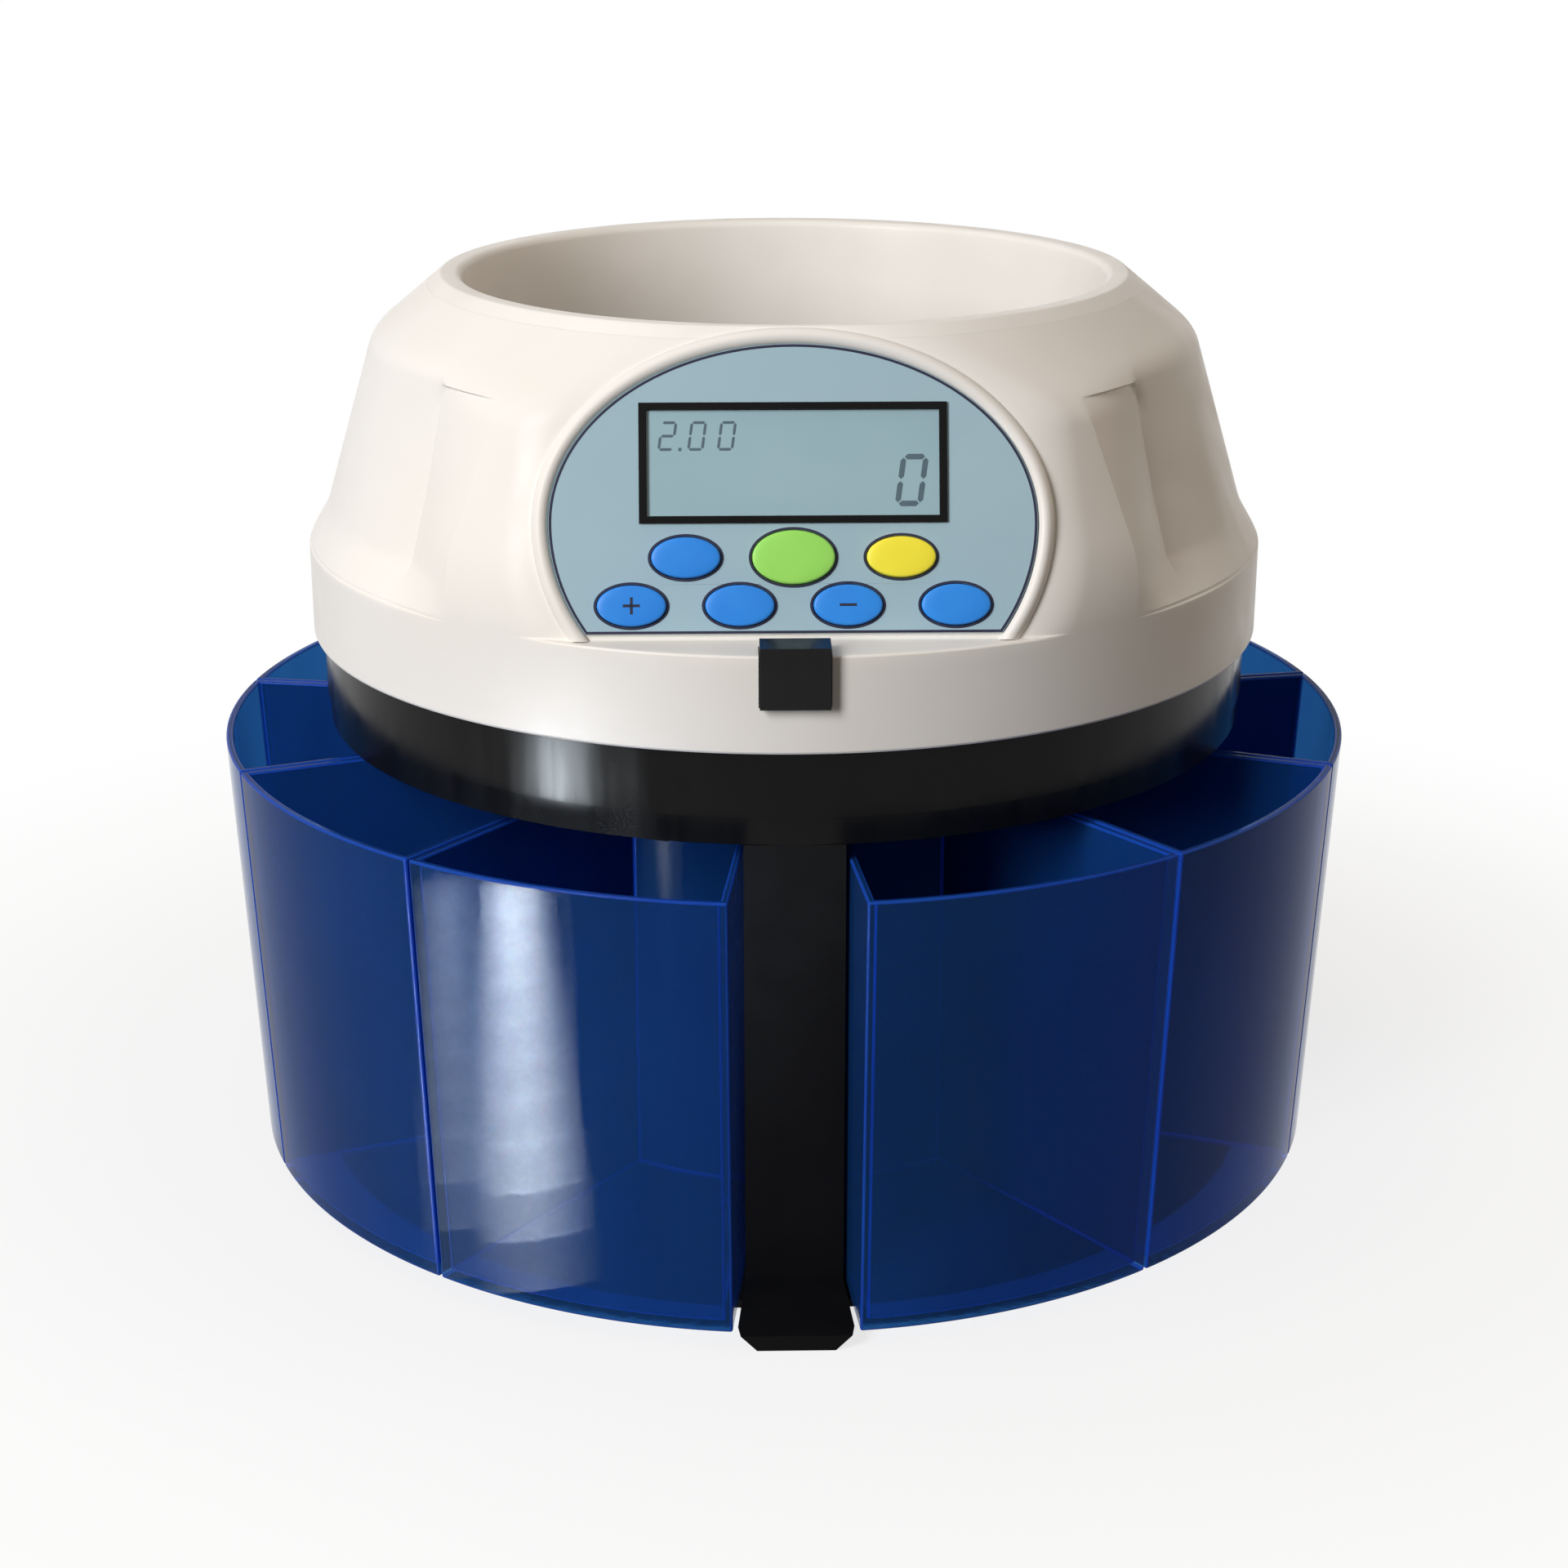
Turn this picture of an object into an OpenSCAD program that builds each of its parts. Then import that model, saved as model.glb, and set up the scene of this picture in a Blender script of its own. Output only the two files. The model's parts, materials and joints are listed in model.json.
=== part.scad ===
// Counter-top coin sorter: hopper, turning coin disc, graded rail and a ring of pull-out coin boxes.
// Millimetres. The front faces -Y, +Z is up, the origin is on the floor under the disc's axis.

/* [Coin boxes] */
// Radius of the box ring at the top edge of the boxes
box_top_r = 175; // [172:0.5:180]
// Radius of the box ring at the underside of the boxes
box_foot_r = 169; // [164:0.5:171]
// Height of a coin box
box_h = 130.7; // [115:0.1:145]
// Wall of a coin box
box_wall = 2.2; // [1.6:0.1:3]
// Floor of a coin box
box_floor = 2.5; // [1.6:0.1:4]
// Gap between two neighbouring boxes
box_gap = 0.8; // [0.6:0.1:1.6]
// Half angle of the space for the front pillar
front_half = 5.9; // [5:0.1:7.5]
// Half angle of the space for the rear cabinet
rear_half = 49; // [45:0.5:53]

/* [Base] */
// Height of the rubber feet
foot_h = 2.5; // [2:0.1:4]
// Radius of a rubber foot
foot_r = 9; // [6:0.5:12]
// Distance of the feet from the axis
foot_ring_r = 128; // [110:1:135]
// Thickness of the base plate
plate_t = 2.5; // [2:0.1:4]
// Radius of the base plate
plate_r = 150; // [145:0.5:156]
// Outer radius of the central drum
drum_r = 75; // [73:0.5:77]
// Wall of the central drum
drum_wall = 2.5; // [2:0.1:4]
// Width of the flanges at both ends of the drum
drum_flange = 11; // [9:0.5:12]
// Thickness of the drum's flanges
drum_flange_t = 4; // [3:0.5:6]
// Gap between the drum and the coin boxes
drum_gap = 3; // [1:0.5:5]
// Wall of the front pillar
pillar_wall = 3; // [2:0.5:4]
// How far the pillar's foot stands out in front of the pillar
foot_reach = 26.6; // [22:0.2:28]
// Height of the foot where it meets the pillar
foot_back_h = 8; // [6:0.5:12]
// Height of the foot at its front edge
foot_front_h = 4.6; // [3.5:0.1:6]
// Half width of the foot's front edge on the floor
foot_half = 11; // [9:0.5:12]
// Wall of the rear cabinet
cab_wall = 2.5; // [2:0.1:4]
// Half width of the flat back of the cabinet
cab_flat_half = 37; // [30:1:42]

/* [Mains] */
// Width of the opening in the back of the cabinet
port_w = 62; // [58:1:66]
// Height of the opening in the back of the cabinet
port_h = 40; // [36:1:48]
// Height of the opening's middle above the floor
port_z = 55; // [40:1:100]
// How far the rear panel reaches past the opening
port_lap = 4; // [2:0.5:6]
// Thickness of the rear panel
port_t = 2; // [1.5:0.1:3]
// Width of the mains inlet's body
inlet_w = 27; // [26:0.5:28]
// Height of the mains inlet's body
inlet_h = 20; // [19:0.5:22]
// Depth of the mains inlet's body behind the panel
inlet_deep = 22; // [18:1:28]
// Depth of the inlet's socket
socket_deep = 16; // [12:1:17]
// Wall round the inlet's socket
socket_wall = 2; // [1.5:0.1:3]
// Width of the earth and live blades
blade_w = 4; // [3:0.5:5]
// Sideways pitch of the inlet's blades
blade_pitch = 7; // [6:0.5:8]
// Width of the switch body
switch_w = 15; // [13:0.5:18]
// Height of the switch body
switch_h = 24; // [22:0.5:28]
// Radius of the rocker round its pivot
rocker_r = 8.5; // [7:0.1:9.5]
// Width of the rocker
rocker_w = 10; // [8:0.5:11]
// Tilt of the rocker to either side
rocker_tilt = 10; // [6:1:12]
// Depth of the rocker's pivot behind the rear panel
rocker_sink = 3.4; // [3.2:0.1:4.5]
// Width of the transformer
trafo_w = 58; // [40:1:66]
// Depth of the transformer
trafo_d = 40; // [30:1:50]
// Height of the transformer
trafo_h = 48; // [36:1:60]

/* [Sorting ring] */
// Outer radius of the black ring
ring_r = 143.2; // [142:0.1:144.5]
// Wall of the black ring
ring_wall = 3.2; // [2.5:0.1:3.6]
// Gap between the top of the boxes and the ring
ring_lift = 4.5; // [3:0.1:7]
// Height of the ring's lower tier
tier_h = 8; // [7:0.1:9]
// Height of the ring's upper tier
ring_h = 18.5; // [16:0.1:22]
// How far the lower tier stands in from the upper one
tier_step = 0.8; // [0.4:0.1:1.2]
// Width of the ledge inside the lower tier that the deck rests on
tier_ledge = 1; // [0.6:0.1:1.1]
// Height of the deck's underside above the ring's lower edge
deck_lift = 3; // [2:0.1:3.6]
// Thickness of the deck
deck_t = 3; // [2.5:0.1:3.2]
// Height of the sorting rail above the deck
rail_lift = 3.5; // [3:0.1:4.5]
// Thickness of the sorting rail
rail_t = 1.5; // [1:0.1:2]
// Inner radius of the sorting rail
rail_in_r = 62; // [58:1:70]
// Thickness of the guide wall that the coins run along
guide_t = 3.7; // [3.2:0.1:4]
// Height of the guide wall
guide_h = 4; // [3:0.1:5]
// Room of a rail window over the coin's diameter
window_room = 0.4; // [0.2:0.1:0.8]
// Length of a rail window along the coin's path
window_len = 30; // [27.5:0.5:30]
// Lip of the rail left outside a window
window_lip = 0.7; // [0.5:0.1:1]
// Wall of a coin chute
chute_wall = 1.6; // [1.2:0.1:2]
// How far a chute hangs below the deck
chute_drop = 5; // [3:0.5:6]
// Side of a coin sensor
sensor_w = 8; // [6:0.5:9]

/* [Drive] */
// Radius of the drive shaft
shaft_r = 5; // [4:0.5:6]
// Outer radius of a shaft bearing
bearing_r = 13; // [11:0.5:14]
// Width of a shaft bearing
bearing_w = 8; // [6:0.5:9]
// Wall round a bearing
bearing_wall = 4; // [3:0.5:5]
// Gear module
gear_m = 1.25; // [1:0.05:1.35]
// Width of the drive gear
gear_w = 9; // [6:0.5:11]
// Radius of the drive gear's hub
gear_hub_r = 11; // [9:0.5:14]
// Height of the bracket's upper face below the deck
bracket_drop = 27.5; // [25:0.5:34]
// Thickness of the motor bracket
bracket_t = 4; // [3:0.5:6]
// Radius of the motor bracket
bracket_r = 67; // [66:0.5:70]
// Radius of the bracket's posts
post_r = 4; // [3:0.5:5]
// Distance of the bracket's posts from the axis
post_ring_r = 56; // [52:0.5:58]
// Radius of the gearbox
gearbox_r = 18.5; // [16:0.5:20]
// Length of the gearbox
gearbox_len = 22; // [18:1:26]
// Radius of the motor
motor_r = 17.5; // [15:0.5:19]
// Length of the motor
motor_len = 46; // [36:1:50]
// Radius of the motor's output shaft
pinion_shaft_r = 3; // [2.5:0.5:4]
// Radius of the coin disc
disc_r = 104; // [98:1:106]
// Thickness of the coin disc
disc_t = 3; // [2.5:0.1:3.5]
// Height of the coin disc over the rail
disc_lift = 0.8; // [0.5:0.1:1]
// Gap between the disc's fingers and the guide wall
finger_gap = 2; // [1.4:0.1:8]
// Width of a disc finger
finger_w = 9; // [6:0.5:12]
// Radius of the disc's hub
hub_r = 18; // [14:0.5:22]
// Height of the disc's hub over the disc
hub_h = 5; // [3:0.5:8]
// Height of the hub cap
cap_h = 7; // [5:0.5:10]

/* [Top housing] */
// Wall of the top housing
shell_t = 3; // [2.4:0.1:3.4]
// Gap between the sorting ring and the skirt
cover_gap = 0.5; // [0.4:0.1:1.5]
// Outer radius of the skirt
skirt_r = 146.3; // [145.8:0.1:148]
// Height of the skirt
skirt_h = 27.5; // [26:0.5:30]
// Width of the grip ledge round the dome
ledge_w = 5.9; // [4:0.1:8]
// Height of the grip ledge
waist_h = 10; // [7:0.5:12]
// Width of the slope between the dome's shoulder and its rim
slope_w = 20; // [17.5:0.5:21.5]
// Height of the shoulder over the ledge
shoulder_h = 52.5; // [50:0.5:54]
// Width of the dome's rim outside the hopper's lip
rim_w = 0.5; // [0.2:0.1:2]
// Height of the rim over the shoulder
rim_h = 14; // [12:0.5:15]
// Half angle of the raised front of the dome
console_half = 45; // [40:1:52]
// Height over the skirt at which the raised front starts to lean back
console_rise = 12; // [9:0.5:14]
// How far the raised front stands out past the shoulder
console_out = 5; // [3.5:0.1:5.5]
// Drop of that radius below the shoulder
console_drop = 3; // [2:0.5:6]
// Inner radius of the hopper at its lip
bowl_r = 97; // [94:0.5:97]
// Inner radius of the hopper at its lower edge
bowl_low_r = 91; // [85:0.5:92]
// Wall of the hopper
bowl_wall = 2.2; // [1.6:0.1:2.6]
// Width of the hopper's rolled lip
lip_w = 7; // [6.5:0.1:7.2]
// Room for coins between the disc and the hopper
bowl_gap = 4.2; // [3:0.1:6]

/* [Control panel] */
// Tilt of the panel from upright
panel_tilt = 19.3; // [18:0.1:21]
// Reach of the panel's lower edge in front of the axis
panel_y = 130; // [128.5:0.1:131]
// Height of the panel's lower edge over the skirt
panel_lift = 1.7; // [1:0.1:3]
// Half width of the panel
panel_half = 66; // [62:0.5:68]
// Height of the panel's widest line
panel_mid = 29.8; // [26:0.2:32]
// Height of the arch over the widest line
panel_rise = 48.2; // [46:0.2:48.6]
// Depth of the lower ellipse under the widest line
panel_low = 57; // [52:0.5:62]
// Thickness of the panel overlay
overlay_t = 1.2; // [0.8:0.1:1.5]
// Width of the raised frame round the panel
frame_w = 4.5; // [3:0.1:5]
// Height of the raised frame
frame_h = 1.6; // [1:0.1:2]
// Width of the display frame
lcd_w = 82.8; // [70:0.2:86]
// Height of the display frame
lcd_h = 32.4; // [28:0.2:33]
// Height of the display's middle on the panel
lcd_mid = 45.9; // [45:0.1:46.5]
// Border of the display frame
lcd_border = 1.9; // [1.4:0.1:2.6]
// How far the display frame stands proud of the panel
lcd_proud = 0.8; // [0.4:0.1:1.5]
// Thickness of the display glass
lcd_glass_t = 3.1; // [2.5:0.1:3.6]
// Depth of the display's backlight
backlight_t = 2.2; // [1.5:0.1:3]
// Thickness of the circuit boards
board_t = 1.6; // [1.2:0.1:2]
// Width of a small key
key_w = 18.6; // [15:0.1:18.8]
// Height of a small key
key_h = 11; // [9:0.1:11.2]
// Width of the large key
key_big_w = 22.3; // [19:0.1:22.5]
// Height of the large key
key_big_h = 14.5; // [12:0.1:14.6]
// How far a key stands proud of the panel
key_proud = 1.8; // [1.4:0.1:2.4]
// Travel of a key
key_travel = 0.8; // [0.4:0.1:1]
// Height of the upper row of keys
row_high = 20.4; // [20.2:0.1:20.8]
// Height of the lower row of keys
row_low = 7.5; // [7.2:0.1:7.7]
// Sideways pitch of the upper row
pitch_high = 29; // [28.5:0.1:29.4]
// Sideways pitch of the lower row
pitch_low = 29.1; // [28.8:0.1:29.4]

/* [Latch and hinge] */
// Width of the latch button
latch_w = 19; // [15:0.5:22]
// Height of the latch button
latch_h = 17; // [15:0.5:18]
// How far the latch button stands over the skirt's top edge
latch_over = 3; // [2:0.1:4]
// How far the latch button stands proud of the skirt
latch_proud = 2.7; // [2:0.1:4]
// Depth of the latch button
latch_deep = 10; // [9:0.5:11]
// Travel of the latch button
latch_travel = 2.5; // [1:0.1:3]
// Thickness of the latch arm
latch_arm_t = 2.5; // [2:0.1:3]
// Height of the latch catch
catch_h = 6; // [4:0.5:8]
// Thickness of the latch catch
catch_t = 3; // [2:0.1:3.5]
// Distance of the hinge pin behind the skirt
hinge_back = 6.7; // [6:0.1:8]
// Depth of the hinge pin below the skirt's lower edge
hinge_low = 2.5; // [2:0.1:4]
// Radius of the hinge pin
pin_r = 2; // [1.5:0.1:2.2]
// Radius of the hinge knuckles
knuckle_r = 4; // [3.6:0.1:4.4]
// Length of the middle knuckle
knuckle_len = 30; // [20:1:36]
// Length of a side knuckle
side_len = 14; // [10:1:18]
// Height of the hinge leaf on the skirt
leaf_h = 18; // [14:0.5:22]
// Thickness of the hinge leaf
leaf_t = 2.4; // [2:0.1:2.4]

/* [Fits and fasteners] */
// Clearance between pieces that move past each other
slip = 0.3; // [0.25:0.05:0.4]
// Clearance of a shaft in its bore
running = 0.05; // [0.03:0.01:0.1]
// Clearance round pieces that are set into an opening
set_in = 0.1; // [0.05:0.05:0.2]
// Radius of a screw's shank
screw_r = 2; // [1.5:0.1:2]
// Radius of a screw's head
screw_head_r = 3.6; // [3:0.1:4]
// Height of a screw's head
screw_head_h = 1.5; // [1:0.1:1.8]

/* [Hidden] */

$fn = 200;

// Eight coin values, so eight boxes: four on each side of the front pillar
box_count = 8;
side_count = box_count / 2;
coin_d = [16.25, 18.75, 19.75, 21.25, 22.25, 23.25, 24.25, 25.75];

// Heights, from the floor up
plate_top = foot_h + plate_t;
box_z = plate_top + slip;
box_top = box_z + box_h;
ring_z = box_top + ring_lift;
deck_z = ring_z + deck_lift;
deck_top = deck_z + deck_t;
tier_top = ring_z + tier_h;
ring_top = tier_top + ring_h;
rail_z = deck_top + rail_lift;
rail_top = rail_z + rail_t;
disc_z = rail_top + disc_lift;
disc_top = disc_z + disc_t;
skirt_z = ring_top + cover_gap;
shelf_z = skirt_z + skirt_h;
waist_z = shelf_z + waist_h;
shoulder_z = waist_z + shoulder_h;
rim_z = shoulder_z + rim_h;
bracket_top = deck_z - bracket_drop;
bracket_z = bracket_top - bracket_t;
// The gear runs midway between the bracket and the cup of the upper bearing
gear_z = bracket_top + (bracket_drop + deck_t - bearing_w - bearing_wall - gear_w) / 2;

// Plan of the boxes
box_pitch = (180 - front_half - rear_half) / side_count;
box_half = box_pitch / 2;
box_in_r = drum_r + drum_gap;
wedge_reach = 2 * box_top_r;
// Nearest point of the front boxes to the viewer: the cabinet's back lies as far behind the axis
front_reach = box_top_r * cos(front_half + asin(box_gap / 2 / box_top_r));
cab_r = sqrt(front_reach * front_reach + cab_flat_half * cab_flat_half);
side_gap = box_gap / 2 + slip;

// Directions of the rubber feet
foot_angles = [35, 145, 215, 325];

// Gears: the pinion stands behind the shaft
gear_teeth = 56;
pinion_teeth = 14;
gear_backlash = 0.12;
gear_play = 0.1;
stub = 0.8;
gear_pitch_r = gear_m * gear_teeth / 2;
pinion_pitch_r = gear_m * pinion_teeth / 2;
motor_y = gear_pitch_r + pinion_pitch_r + gear_play;

// Screws of the drum's flanges, and the posts of the motor bracket
flange_screw_r = drum_r - drum_wall - drum_flange / 2;
flange_screw_count = 4;
post_angles = [20, 160, 225, 315];

// Rail and chutes
ring_in_r = ring_r - ring_wall;
deck_r = ring_in_r - tier_step;
guide_r = ring_in_r - slip - guide_t;
finger_r = guide_r - finger_gap;
chute_half = window_len / 2 + slip;
chute_out_r = guide_r - window_lip;
chute_room = 1;
chute_lip = 2;
chute_in_r = guide_r - max(coin_d) - window_room - chute_room;
rail_post_r = 4;
rail_post_ring_r = (chute_in_r + drum_r) / 2 - rail_post_r;
finger_count = 12;

// Hopper and dome
bowl_z = disc_top + bowl_gap;
rim_r = bowl_r + lip_w + rim_w;
shoulder_r = rim_r + slope_w;
waist_r = skirt_r - ledge_w;
console_r = shoulder_r + console_out;
throat_r = bowl_r + bowl_wall + set_in * 4;

// Latch and hinge
latch_z = shelf_z + latch_over - latch_h;
latch_front = skirt_r + latch_proud;
flange_t = 1.5;
flange_grow = 2.5;
flange_front = sqrt(pow(skirt_r - shell_t, 2) - pow(latch_w / 2 + flange_grow, 2)) - slip;
catch_in = ring_in_r - catch_t;
catch_half = 7;
catch_sink = 1;
catch_top = ring_top - catch_sink;
arm_front = catch_in - slip;
arm_half = 6;
hinge_y = skirt_r + hinge_back;
hinge_z = skirt_z - hinge_low;
leaf_half = knuckle_len / 2;
leaf_screw_x = 9;
leaf_screw_z = skirt_z + leaf_h * 2 / 3;

// Panel: what lies behind it, from the panel's face inwards
wall_in = -shell_t;
lcd_open_w = lcd_w - 2 * lcd_border;
lcd_open_h = lcd_h - 2 * lcd_border;
glass_sink = 0.3;
glass_front = overlay_t - glass_sink;
glass_back = glass_front - lcd_glass_t;
backlight_back = glass_back - backlight_t;
board_lap = 3;
flange_lap = 0.8;
key_flange_t = 1.4;
key_flange_top = wall_in - slip;
key_foot = key_flange_top - key_flange_t;
switch_top = key_foot - key_travel - slip;
key_switch_h = 1.5;
key_switch_w = 6;
key_board_top = switch_top - key_switch_h;
key_board_w = 3 * pitch_low + key_w + 4;
key_board_low = row_low - key_h / 2;
key_board_high = row_high + key_h / 2;
// Posts between the keys carry the key board
post_x = (pitch_high - key_w / 2 + key_big_w / 2) / 2;
key_posts = [
    [-post_x, row_high], [post_x, row_high],
    [-pitch_low, row_low], [0, row_low], [pitch_low, row_low]
];
key_post_r = 2;

// Colours
white_shell = [0.93, 0.91, 0.88];
black = [0.05, 0.05, 0.06];
box_blue = [0.07, 0.2, 0.5, 0.7];
steel = [0.7, 0.71, 0.73];
board_green = [0.1, 0.35, 0.2];
key_blue = [0.18, 0.57, 0.92];
key_green = [0.63, 0.9, 0.41];
key_yellow = [0.99, 0.93, 0.27];

// Direction of a box, counted from the front outwards: 0 to 3 on the left, 4 to 7 on the right
function box_dir(i) =
    -90 + (i < side_count ? -1 : 1) * (front_half + (i % side_count + 0.5) * box_pitch);

// Radius of the boxes' drafted outer wall at a height over their underside
function box_r(z) = box_foot_r + (box_top_r - box_foot_r) * z / box_h;

// Points of an ellipse
function ellipse(w, h, steps = 40) =
    [for (k = [0 : steps - 1]) [w / 2 * cos(360 * k / steps), h / 2 * sin(360 * k / steps)]];

// Outline of the panel, grown all round: a half ellipse over a deeper one that is cut off flat
function panel_outline(grow, low = 0, steps = 64) =
    let (dip = asin((panel_mid + low) / (panel_low + grow)))
    [for (k = [0 : steps])
        let (a = -dip + (180 + 2 * dip) * k / steps)
        [(panel_half + grow) * cos(a),
            panel_mid + ((a > 0 && a < 180) ? panel_rise + grow : panel_low + grow) * sin(a)]];

// Involute of a base circle: the point unrolled by t radians
function involute(base_r, t) =
    let (d = t * 180 / PI)
    [base_r * (cos(d) + t * sin(d)), base_r * (sin(d) - t * cos(d))];
function turn(p, a) = [p[0] * cos(a) - p[1] * sin(a), p[0] * sin(a) + p[1] * cos(a)];

// Outline of a spur gear with stub teeth at a pressure angle of 20 degrees, one tooth centred on +X
function gear_outline(teeth, flank_steps = 4) =
    let (pitch_r = gear_m * teeth / 2,
        base_r = pitch_r * cos(20),
        tip_r = pitch_r + stub * gear_m,
        root_r = pitch_r - (stub + 0.3) * gear_m,
        foot_r0 = max(base_r, root_r),
        t0 = sqrt(max(0, pow(foot_r0 / base_r, 2) - 1)),
        t1 = sqrt(pow(tip_r / base_r, 2) - 1),
        half = 90 / teeth + (tan(20) * 180 / PI - 20) - gear_backlash / pitch_r * 90 / PI,
        flank = [for (k = [0 : flank_steps])
            turn(involute(base_r, t0 + (t1 - t0) * k / flank_steps), -half)])
    [for (n = [0 : teeth - 1])
        let (a = 360 * n / teeth,
            root = turn([root_r, 0], -atan2(-flank[0][1], flank[0][0])))
        each concat(
            [turn(root, a)],
            [for (p = flank) turn(p, a)],
            [for (k = [flank_steps : -1 : 0]) turn([flank[k][0], -flank[k][1]], a)],
            [turn([root[0], -root[1]], a)])];

// Flat wedge along +X between two planes that lie inset from the radial planes
module wedge(half, inset) {
    apex = inset / sin(half);
    polygon([
        [apex, 0],
        [apex + wedge_reach * cos(half), wedge_reach * sin(half)],
        [apex + wedge_reach * cos(half), -wedge_reach * sin(half)]
    ]);
}

module ring(r_out, r_in, h) {
    difference() {
        cylinder(r = r_out, h = h);
        translate([0, 0, -1]) cylinder(r = r_in, h = h + 2);
    }
}

module block(w, d, h) {
    translate([-w / 2, -d / 2, 0]) cube([w, d, h]);
}

module at_boxes() {
    for (i = [0 : box_count - 1]) rotate(box_dir(i)) children();
}

// Frame of the panel: x to the right, y up the panel, z out of its face
module on_panel() {
    translate([0, -panel_y, shelf_z + panel_lift]) rotate([90 - panel_tilt, 0, 0]) children();
}

// Screw along +Z whose head's seat is at z = 0
module screw(len) {
    translate([0, 0, -screw_head_h]) cylinder(r = screw_head_r, h = screw_head_h);
    cylinder(r = screw_r, h = len);
}

module screw_hole(len) {
    translate([0, 0, -1]) cylinder(r = screw_r + running, h = len + 1);
}

// Where the drum's flange screws stand: head seats on the plate's and the deck's counterbores
module at_flange_screws() {
    for (k = [0 : flange_screw_count - 1])
        rotate(45 + 360 / flange_screw_count * k) translate([flange_screw_r, 0, 0]) children();
}

// Outline of the rear cabinet, drawn in by a wall
module cabinet_outline(inset) {
    intersection() {
        circle(r = cab_r - inset);
        rotate(90) wedge(rear_half, side_gap + inset);
        translate([-wedge_reach, 0]) square([2 * wedge_reach, front_reach - inset]);
    }
}

module base_plate() {
    color(black) translate([0, 0, foot_h]) difference() {
        linear_extrude(plate_t) union() {
            circle(r = plate_r);
            cabinet_outline(0);
        }
        at_flange_screws() {
            translate([0, 0, -1]) cylinder(r = screw_head_r + set_in, h = screw_head_h + 1);
            screw_hole(plate_t + 1);
        }
    }
}

module rubber_feet() {
    color([0.1, 0.1, 0.1]) for (a = foot_angles)
        rotate(a) translate([foot_ring_r, 0, 0]) cylinder(r1 = foot_r - 1, r2 = foot_r, h = foot_h);
}

module central_drum() {
    flange_in_r = drum_r - drum_wall - drum_flange;
    color(black) translate([0, 0, plate_top]) difference() {
        union() {
            ring(drum_r, drum_r - drum_wall, deck_z - plate_top);
            ring(drum_r, flange_in_r, drum_flange_t);
            translate([0, 0, deck_z - plate_top - drum_flange_t]) ring(drum_r, flange_in_r, drum_flange_t);
        }
        at_flange_screws() screw_hole(deck_z);
    }
}

// Pillar under the ring's front edge, with a foot that runs out between the two front boxes
module front_pillar() {
    pillar_y = ring_r - tier_step;
    foot_y = pillar_y + foot_reach;
    foot_in = plate_r + slip;
    color(black) {
        difference() {
            intersection() {
                rotate(-90) translate([0, 0, plate_top]) linear_extrude(ring_z - plate_top)
                    wedge(front_half, side_gap);
                translate([-wedge_reach / 2, -pillar_y, 0]) cube([wedge_reach, pillar_y, ring_z]);
            }
            cylinder(r = drum_r + slip, h = ring_z + 1);
            intersection() {
                rotate(-90) translate([0, 0, plate_top - 1])
                    linear_extrude(ring_z - plate_top + 1 - pillar_wall)
                    wedge(front_half, side_gap + pillar_wall);
                translate([-wedge_reach / 2, -pillar_y + pillar_wall, 0])
                    cube([wedge_reach, wedge_reach, ring_z]);
            }
        }
        intersection() {
            rotate(-90) linear_extrude(ring_z) wedge(front_half, side_gap);
            rotate([90, 0, -90]) translate([0, 0, -wedge_reach / 2]) linear_extrude(wedge_reach)
                polygon([[pillar_y - 1, plate_top], [pillar_y - 1, foot_back_h], [foot_y, foot_front_h],
                    [foot_y, 0], [foot_in, 0], [foot_in, plate_top]]);
            rotate([90, 0, 0]) linear_extrude(foot_y + 1)
                polygon([[-foot_half, 0], [foot_half, 0],
                    [foot_half + foot_front_h, foot_front_h], [foot_half + 2 * foot_front_h, foot_back_h],
                    [-foot_half - 2 * foot_front_h, foot_back_h], [-foot_half - foot_front_h, foot_front_h]]);
        }
    }
}

module rear_cabinet() {
    color(black) difference() {
        translate([0, 0, plate_top]) linear_extrude(ring_z - plate_top) difference() {
            cabinet_outline(0);
            circle(r = drum_r + slip);
        }
        translate([0, 0, plate_top - 1]) linear_extrude(ring_z - plate_top + 1 - cab_wall)
            cabinet_outline(cab_wall);
        translate([0, front_reach, port_z - port_h / 2]) block(port_w, 4 * cab_wall, port_h);
    }
}

// Frame of the rear panel's outer face: x to the right seen from behind, y up, z outwards
module on_port() {
    translate([0, front_reach - cab_wall, port_z]) rotate([-90, 180, 0]) children();
}

inlet_x = -port_w / 4;
switch_x = port_w / 4;
port_flange = 1.5;
port_flange_lap = 1.5;

module rear_panel() {
    color([0.13, 0.13, 0.14]) on_port() translate([0, 0, -port_t]) linear_extrude(port_t) difference() {
        square([port_w + 2 * port_lap, port_h + 2 * port_lap], center = true);
        translate([inlet_x, 0]) square([inlet_w + 2 * set_in, inlet_h + 2 * set_in], center = true);
        translate([switch_x, 0]) square([switch_w + 2 * set_in, switch_h + 2 * set_in], center = true);
    }
}

// Body of a snap-in piece with a flange on the panel's outer face
module snap_body(w, h, deep) {
    translate([0, 0, -deep]) linear_extrude(deep) square([w, h], center = true);
    linear_extrude(port_flange)
        square([w + 2 * port_flange_lap, h + 2 * port_flange_lap], center = true);
}

module power_inlet() {
    color(black) on_port() translate([inlet_x, 0, 0]) difference() {
        snap_body(inlet_w, inlet_h, inlet_deep);
        translate([0, 0, port_flange - socket_deep]) linear_extrude(socket_deep + 1)
            square([inlet_w - 2 * socket_wall, inlet_h - 2 * socket_wall], center = true);
    }
}

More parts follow.
